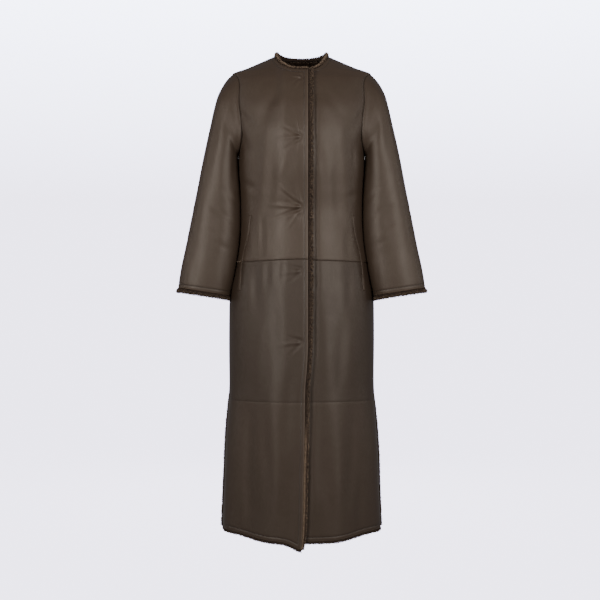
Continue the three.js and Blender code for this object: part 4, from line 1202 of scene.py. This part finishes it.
def roll_locks(edge, per_mm):
    """The curls that stand off a roll, from under the leather's edge round to its inside."""
    count = int(edge.length() * per_mm)
    corner, lean, up, tan = edge.at(chance.uniform(0, edge.length(), count))
    reach = np.linalg.norm(lean, axis=1)
    ahead = lean / reach[:, None]
    # even along the roll's oval outline, from its inner face to the leather
    outline = np.linspace(-105, 138, 244) * DEG
    along, aloft = reach * ROLL_DEPTH, WOOL_THICK * ROLL_HEIGHT
    sway = np.hypot(np.median(along) * np.sin(outline), aloft * np.cos(outline))
    turn = np.interp(chance.uniform(0, 1, count), np.cumsum(sway) / sway.sum(), outline)
    degrees = turn / DEG
    middle = corner + lean * ROLL_MIDDLE - up * aloft
    outward = ahead * (along * np.cos(turn))[:, None] + up * (aloft * np.sin(turn))[:, None]
    roots = middle + ROOT_DEPTH * outward
    way = unit(ahead * (np.cos(turn) / along)[:, None] + up * (np.sin(turn) / aloft)[:, None])
    way = way + 0.35 * ahead + chance.normal(0, 0.30, (count, 3))
    lines = np.maximum(tan - 1, 0)
    furrow = 1 - 0.45 * lines * bump(degrees - FURROW[0], FURROW[1])
    lengths = mix(2.0, 0.36 * reach, np.clip(np.cos(turn), 0, 1)) * chance.uniform(0.65, 1.25, count) * furrow
    tones = chance.uniform(0, 1, count) ** TONE_SKEW
    # the wool's own tan tips, made paler where the curls face out towards the front: partly a painted highlight
    tips_and_highlight = 0.1 + 0.9 * bump(degrees - TAN_TIPS_AND_HIGHLIGHT[0], TAN_TIPS_AND_HIGHLIGHT[1])
    first, second = (bump(degrees - place, spread) for place, spread in MATTED_TAN)
    tans = np.minimum(tan, 1) * mix(tips_and_highlight, first + 0.8 * second, np.minimum(lines, 1))
    tans = tans * chance.uniform(0.3, 1.4, count) * (1 + 0.5 * lines)
    return roots, way, lengths, chance.uniform(0.9, 1.6, count), tones, tans


def face_locks(panel, rows, columns, per_mm2):
    """Curls on the inner face of a panel, over some of its rows and columns."""
    points = panel.points - panel.normals * (WALL - 0.4)
    block, ways = points[rows, columns], -panel.normals[rows, columns]
    a, b, c, d = block[:-1, :-1], block[:-1, 1:], block[1:, 1:], block[1:, :-1]
    area = np.linalg.norm(np.cross(c - a, d - b), axis=-1).ravel() / 2
    count = int(area.sum() * per_mm2)
    cell = chance.choice(len(area), count, p=area / area.sum())
    i, j = np.divmod(cell, block.shape[1] - 1)
    s, t = chance.uniform(0, 1, (2, count, 1))
    roots = mix(mix(a[i, j], b[i, j], s), mix(d[i, j], c[i, j], s), t)
    way = ways[i, j] + chance.normal(0, 0.4, (count, 3))
    tones = chance.uniform(0, 1, count) ** TONE_SKEW
    return roots, way, chance.uniform(2.5, 5, count), chance.uniform(1.1, 2.0, count), tones, np.zeros(count)


def join_meshes(name, meshes):
    """Puts several meshes into one, with their attributes."""
    together = bmesh.new()
    for mesh in meshes:
        together.from_mesh(mesh)
        bpy.data.meshes.remove(mesh)
    mesh = bpy.data.meshes.new(name)
    together.to_mesh(mesh)
    together.free()
    return mesh


def sum_edges(edges):
    """The edges one after the other, as one."""
    return Edge(np.concatenate([edge.rows for edge in edges]))


def wool_piece(node, edges, face_parts, looped=False):
    """A wool node's piece: its roll and its curls. Each edge comes with its curls for each millimetre."""
    whole = sum_edges(edge for edge, _ in edges)
    curls = [roll_locks(edge, per_mm) for edge, per_mm in edges if per_mm] + face_parts
    locks = locks_mesh("curls", *(np.concatenate(values) for values in zip(*curls)))
    mesh = join_meshes(f"fleece_{node}", [roll_core("roll", whole, looped), locks])
    piece = finished(f"fleece_{node}", mesh, (WOOL,))
    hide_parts(node)


def slit_reach(corner):
    return np.minimum(slit_half(corner[:, 2]) - 1.5, WOOL_REACH)


def side_frames(names, line, inside):
    """The slit's edge down the middle and lower panels."""
    middle, lower = (panels[name] for name in names)
    open_rows = slice(int(np.nonzero(middle.rows > SLIT_SHARE)[0][0]), None)
    return sum_edges(
        edge_frames(panel, (rows, line), (rows, inside), slit_reach, SLIT_FLARE, SLIT_TAN)
        for panel, rows in ((middle, open_rows), (lower, slice(1, None)))
    )


def bottom_frames(panel, reach, flare=0.0, tan=0.35):
    """The edge along a panel's last row: the hem, or a cuff."""
    return edge_frames(panel, -1, -5, reach, flare, tan)


def inner_locks(panel, per_mm2):
    """Curls on the inside of a panel, near its last row."""
    return face_locks(panel, slice(-10, None), slice(None), per_mm2)


# curls for each millimetre of an edge
NECK_CURLS, FRONT_CURLS, HEM_CURLS, SLIT_CURLS, CUFF_CURLS = 14, 9.5, 6, 7, 12
# how tan the tips are, and what the matted lines of the lower front add between two levels
FRONT_TAN, CUFF_TAN, LINES_TAN = 0.6, 0.42, 1.4
LINES_LEVELS = (-900, -1010)

for which in SIDES:
    names = [f"front_{which}_{part}" for part in PARTS]
    upper, middle, lower = (panels[name] for name in names)
    neck = neck_frames(upper).back()
    reach = (lambda corner: top_edge_wool(corner[:, 2])) if which == "right" else WOOL_REACH
    front = sum_edges(
        edge_frames(panel, (slice(None), 0), (slice(None), 4), reach, tan=FRONT_TAN)
        for panel in (upper, middle, lower)
    )
    front.rows[:, 9] += LINES_TAN * smooth_step(*LINES_LEVELS, front.rows[:, 2])
    hem = bottom_frames(lower, WOOL_REACH, tan=FRONT_TAN)
    slit = side_frames(names[1:], -1, -5).back()
    # the under front's edge is hidden, so it has the roll alone
    front_curls = FRONT_CURLS if which == "right" else 0
    edges = [(neck, NECK_CURLS), (front, front_curls), (hem, HEM_CURLS), (slit, SLIT_CURLS)]
    top_rows = slice(0, int(np.searchsorted(upper.rows, 1.2)))
    inside = [face_locks(upper, top_rows, slice(None), 0.10), inner_locks(lower, 0.04)]
    wool_piece(f"wool_front_{which}", edges, inside)

back_upper, back_lower = panels["back_upper"], panels["back_lower"]
neck_rows = slice(0, int(np.searchsorted(back_upper.rows, 3.6)))
inside_neck = face_locks(back_upper, neck_rows, slice(None), 0.2)
wool_piece("wool_back_neck", [(neck_frames(back_upper), NECK_CURLS)], [inside_neck])
right_slit = side_frames(("back_middle", "back_lower"), 0, 4)
left_slit = side_frames(("back_middle", "back_lower"), -1, -5).back()
back_hem = bottom_frames(back_lower, WOOL_REACH)
edges = [(right_slit, SLIT_CURLS), (back_hem, HEM_CURLS), (left_slit, SLIT_CURLS)]
wool_piece("wool_back_hem", edges, [inner_locks(back_lower, 0.05)])
for which in SIDES:
    halves = [panels[f"sleeve_{which}_{half}"] for half in ("front", "back")]
    fore, aft = (bottom_frames(panel, WOOL_CUFF_REACH, WOOL_FLARE, CUFF_TAN) for panel in halves)
    round_cuff = sum_edges([fore, Edge(aft.rows[-2::-1])])
    inside = [inner_locks(panel, 0.12) for panel in halves]
    wool_piece(f"wool_cuff_{which}", [(round_cuff, CUFF_CURLS)], inside, looped=True)


# Topstitching along the edges and the armholes

def line_inside(panel, along_rows, from_end, inset):
    """The line on a panel's face at a distance from one of its sides."""
    points = panel.points if along_rows else panel.points.transpose(1, 0, 2)
    normals = panel.normals if along_rows else panel.normals.transpose(1, 0, 2)
    line = []
    for row, normal in zip(points, normals):
        row, normal = (row[::-1], normal[::-1]) if from_end else (row, normal)
        steps = run_lengths(row)
        line.append([np.interp(inset, steps, values) for values in (*row.T, *normal.T)])
    return np.array(line)


def stitches_along(line, keep):
    """The middle, the way out and the way ahead of each stitch along a line."""
    places = run_lengths(line[:, :3])
    stops = np.arange(STITCH_PITCH / 2, places[-1], STITCH_PITCH)
    at = lambda where: np.stack([np.interp(where, places, values) for values in line.T], -1)
    middle, ahead = at(stops), at(stops + 0.5)[:, :3] - at(stops - 0.5)[:, :3]
    result = np.concatenate([middle, unit(ahead)], axis=1)
    return result[keep(result[:, :3])]


def stitch_lines():
    """Each line of topstitching, and which of its places are clear of the panel's other edges."""
    first, last, top, bottom = (True, False), (True, True), (False, False), (False, True)
    for name, panel in panels.items():
        if name.startswith("sleeve"):
            yield line_inside(panel, *bottom, STITCH_INSET), lambda points: np.ones(len(points), bool)
            continue
        clear = lambda points, lines=panel.free_lines: distance_to(points, lines) > STITCH_CLEAR
        rows = panel.rows
        at_arm = (rows >= SHOULDER_ROW) & (rows <= UNDERARM_ROW)
        sides = {
            "upper": [(top, STITCH_INSET, slice(None)), (last, ARMHOLE_STITCH, at_arm)],
            "middle": [(last, STITCH_INSET, rows > SLIT_SHARE)],
            "lower": [(bottom, STITCH_INSET, slice(None)), (last, STITCH_INSET, slice(None))],
        }[name.rsplit("_", 1)[1]]
        if name.startswith("back"):
            sides.append((first, *sides[-1][1:]))
        else:
            sides.insert(0, (first, STITCH_INSET, slice(None)))
        for side, inset, part_of in sides:
            yield line_inside(panel, *side, inset)[part_of], clear


def topstitching():
    found = np.concatenate([stitches_along(line, keep) for line, keep in stitch_lines()])
    shape = bmesh.new()
    bmesh.ops.create_uvsphere(shape, u_segments=5, v_segments=4, radius=0.5)
    corners, faces = corners_and_faces(shape)
    middle, normal, ahead = found[:, :3], unit(found[:, 3:6]), found[:, 6:9]
    side = unit(np.cross(normal, ahead))
    normal = np.cross(ahead, side)
    high, wide, long = (corners[None, :, k, None] * size for k, size in enumerate(STITCH_SIZE))
    points = (
        middle[:, None] + normal[:, None] * (high + STITCH_RISE)
        + side[:, None] * wide + ahead[:, None] * long
    )
    mesh = copies_mesh("topstitching", points, faces)
    shape = bmesh.new()
    shape.from_mesh(mesh)
    bmesh.ops.recalc_face_normals(shape, faces=shape.faces)
    shape.to_mesh(mesh)
    shape.free()
    finished("topstitching", mesh, (THREAD,))


topstitching()


# Pocket welts

# across a welt, and its height there
WELT_ACROSS = np.array([0, 0.8, 2.2, 4.2, 6.4, 8.2, 9.4, 10])
WELT_HEIGHT = np.array([0.2, 0.5, 0.72, 0.85, 0.85, 0.7, 0.45, 0.12])
WELT_ROWS = 60


def pocket_welt(which):
    side = -1 if which == "right" else 1
    z = np.linspace(POCKET[0, 0], POCKET[-1, 0], WELT_ROWS)
    near = pocket_angle(z) * DEG
    stretch = np.hypot(body_side(z) * np.cos(near), body_front(z) * np.sin(near))
    ends = 1 - 0.35 * bump(np.minimum(z - z[-1], z[0] - z), 3)
    angle = side * (near[:, None] + WELT_ACROSS[None] / stretch[:, None])
    level = np.broadcast_to(z[:, None], angle.shape)
    base, normal = body_base(angle, level), body_normal(angle, level)
    face = body_fold(angle, level) + body_detail(angle, level, which)
    points = base + normal * (face + WELT_HEIGHT[None] * ends[:, None])[..., None]
    mesh, row, column = grid_mesh(f"welt_{which}", points, normal)
    near_side = np.minimum(WELT_ACROSS, WELT_ACROSS[-1] - WELT_ACROSS)
    set_attribute(mesh, "edge", (near_side + 3)[column])
    set_attribute(mesh, "seam", np.where(column == 0, 0.6, 30.0))
    set_attribute(mesh, "sewn", np.full(len(column), 0.8))
    set_attribute(mesh, "dark", np.zeros(len(column)))
    piece = finished(f"welt_{which}", mesh, (LEATHER, RAW_EDGE, LINING))
    walled(piece, WELT_WALL)
    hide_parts(f"pocket_welt_{which}")


for which in SIDES:
    pocket_welt(which)

for name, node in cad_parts.items():
    if name.startswith("snap"):
        node.data.materials.clear()
        node.data.materials.append(METAL)


# Studio: a pale floor that rises all round, and soft lights

# distance from the middle and level, in metres
FLOOR_PROFILE = (
    (0, -1.62), (1.5, -1.62), (3.2, -1.62), (4.4, -1.6), (5.3, -1.4), (5.9, -0.9), (6.2, 0), (6.3, 2.5),
    (6.3, 5),
)


def studio_floor():
    shape = bmesh.new()
    corners = [shape.verts.new((x, 0, z)) for x, z in FLOOR_PROFILE]
    for first, second in zip(corners, corners[1:]):
        shape.edges.new((first, second))
    bmesh.ops.spin(
        shape, geom=shape.verts[:] + shape.edges[:], cent=(0, 0, 0), axis=(0, 0, 1), angle=FULL_TURN,
        steps=48, use_merge=True,
    )
    bmesh.ops.remove_doubles(shape, verts=shape.verts, dist=0.0005)
    bmesh.ops.recalc_face_normals(shape, faces=shape.faces)
    mesh = bpy.data.meshes.new("studio_floor")
    shape.to_mesh(mesh)
    shape.free()
    mesh.update()
    low = min(mesh.polygons, key=lambda p: p.center.length_squared)
    if low.normal.z < 0:
        mesh.flip_normals()
    mesh.polygons.foreach_set("use_smooth", np.ones(len(mesh.polygons), bool))
    mesh.materials.append(paper_finish())
    floor = bpy.data.objects.new("studio_floor", mesh)
    floor.visible_diffuse = False
    floor.visible_glossy = False
    floor.visible_shadow = False
    bpy.context.scene.collection.objects.link(floor)


def soft_light(name, place, target, width, height, power):
    data = bpy.data.lights.new(name, "AREA")
    data.shape = "RECTANGLE"
    data.size, data.size_y = width, height
    data.energy = power
    light = bpy.data.objects.new(name, data)
    light.location = place
    light.rotation_euler = (Vector(target) - Vector(place)).to_track_quat("-Z", "Y").to_euler()
    light.visible_camera = False
    bpy.context.scene.collection.objects.link(light)


studio_floor()
# name, place, target, width, height and power
LIGHTS = (
    ("key", (-1.3, -2.05, 0.02), (0, 0, -0.22), 0.85, 1.25, 62),
    ("fill", (1.3, -2.05, 0.02), (0, 0, -0.22), 0.85, 1.25, 58),
    ("side_right", (-3.7, -0.5, 0.3), (0, 0, -0.3), 1.0, 1.8, 30),
    ("side_left", (3.7, -0.5, 0.3), (0, 0, -0.3), 1.0, 1.8, 32),
    ("behind", (0, 4.0, 0.6), (0, 0, -0.4), 1.6, 1.5, 120),
)
for light in LIGHTS:
    soft_light(*light)

world = bpy.data.worlds.new("studio")
world.use_nodes = True
air = world.node_tree.nodes["Background"].inputs
air["Color"].default_value = (0.93, 0.93, 1.0, 1)
air["Strength"].default_value = 0.3
bpy.context.scene.world = world
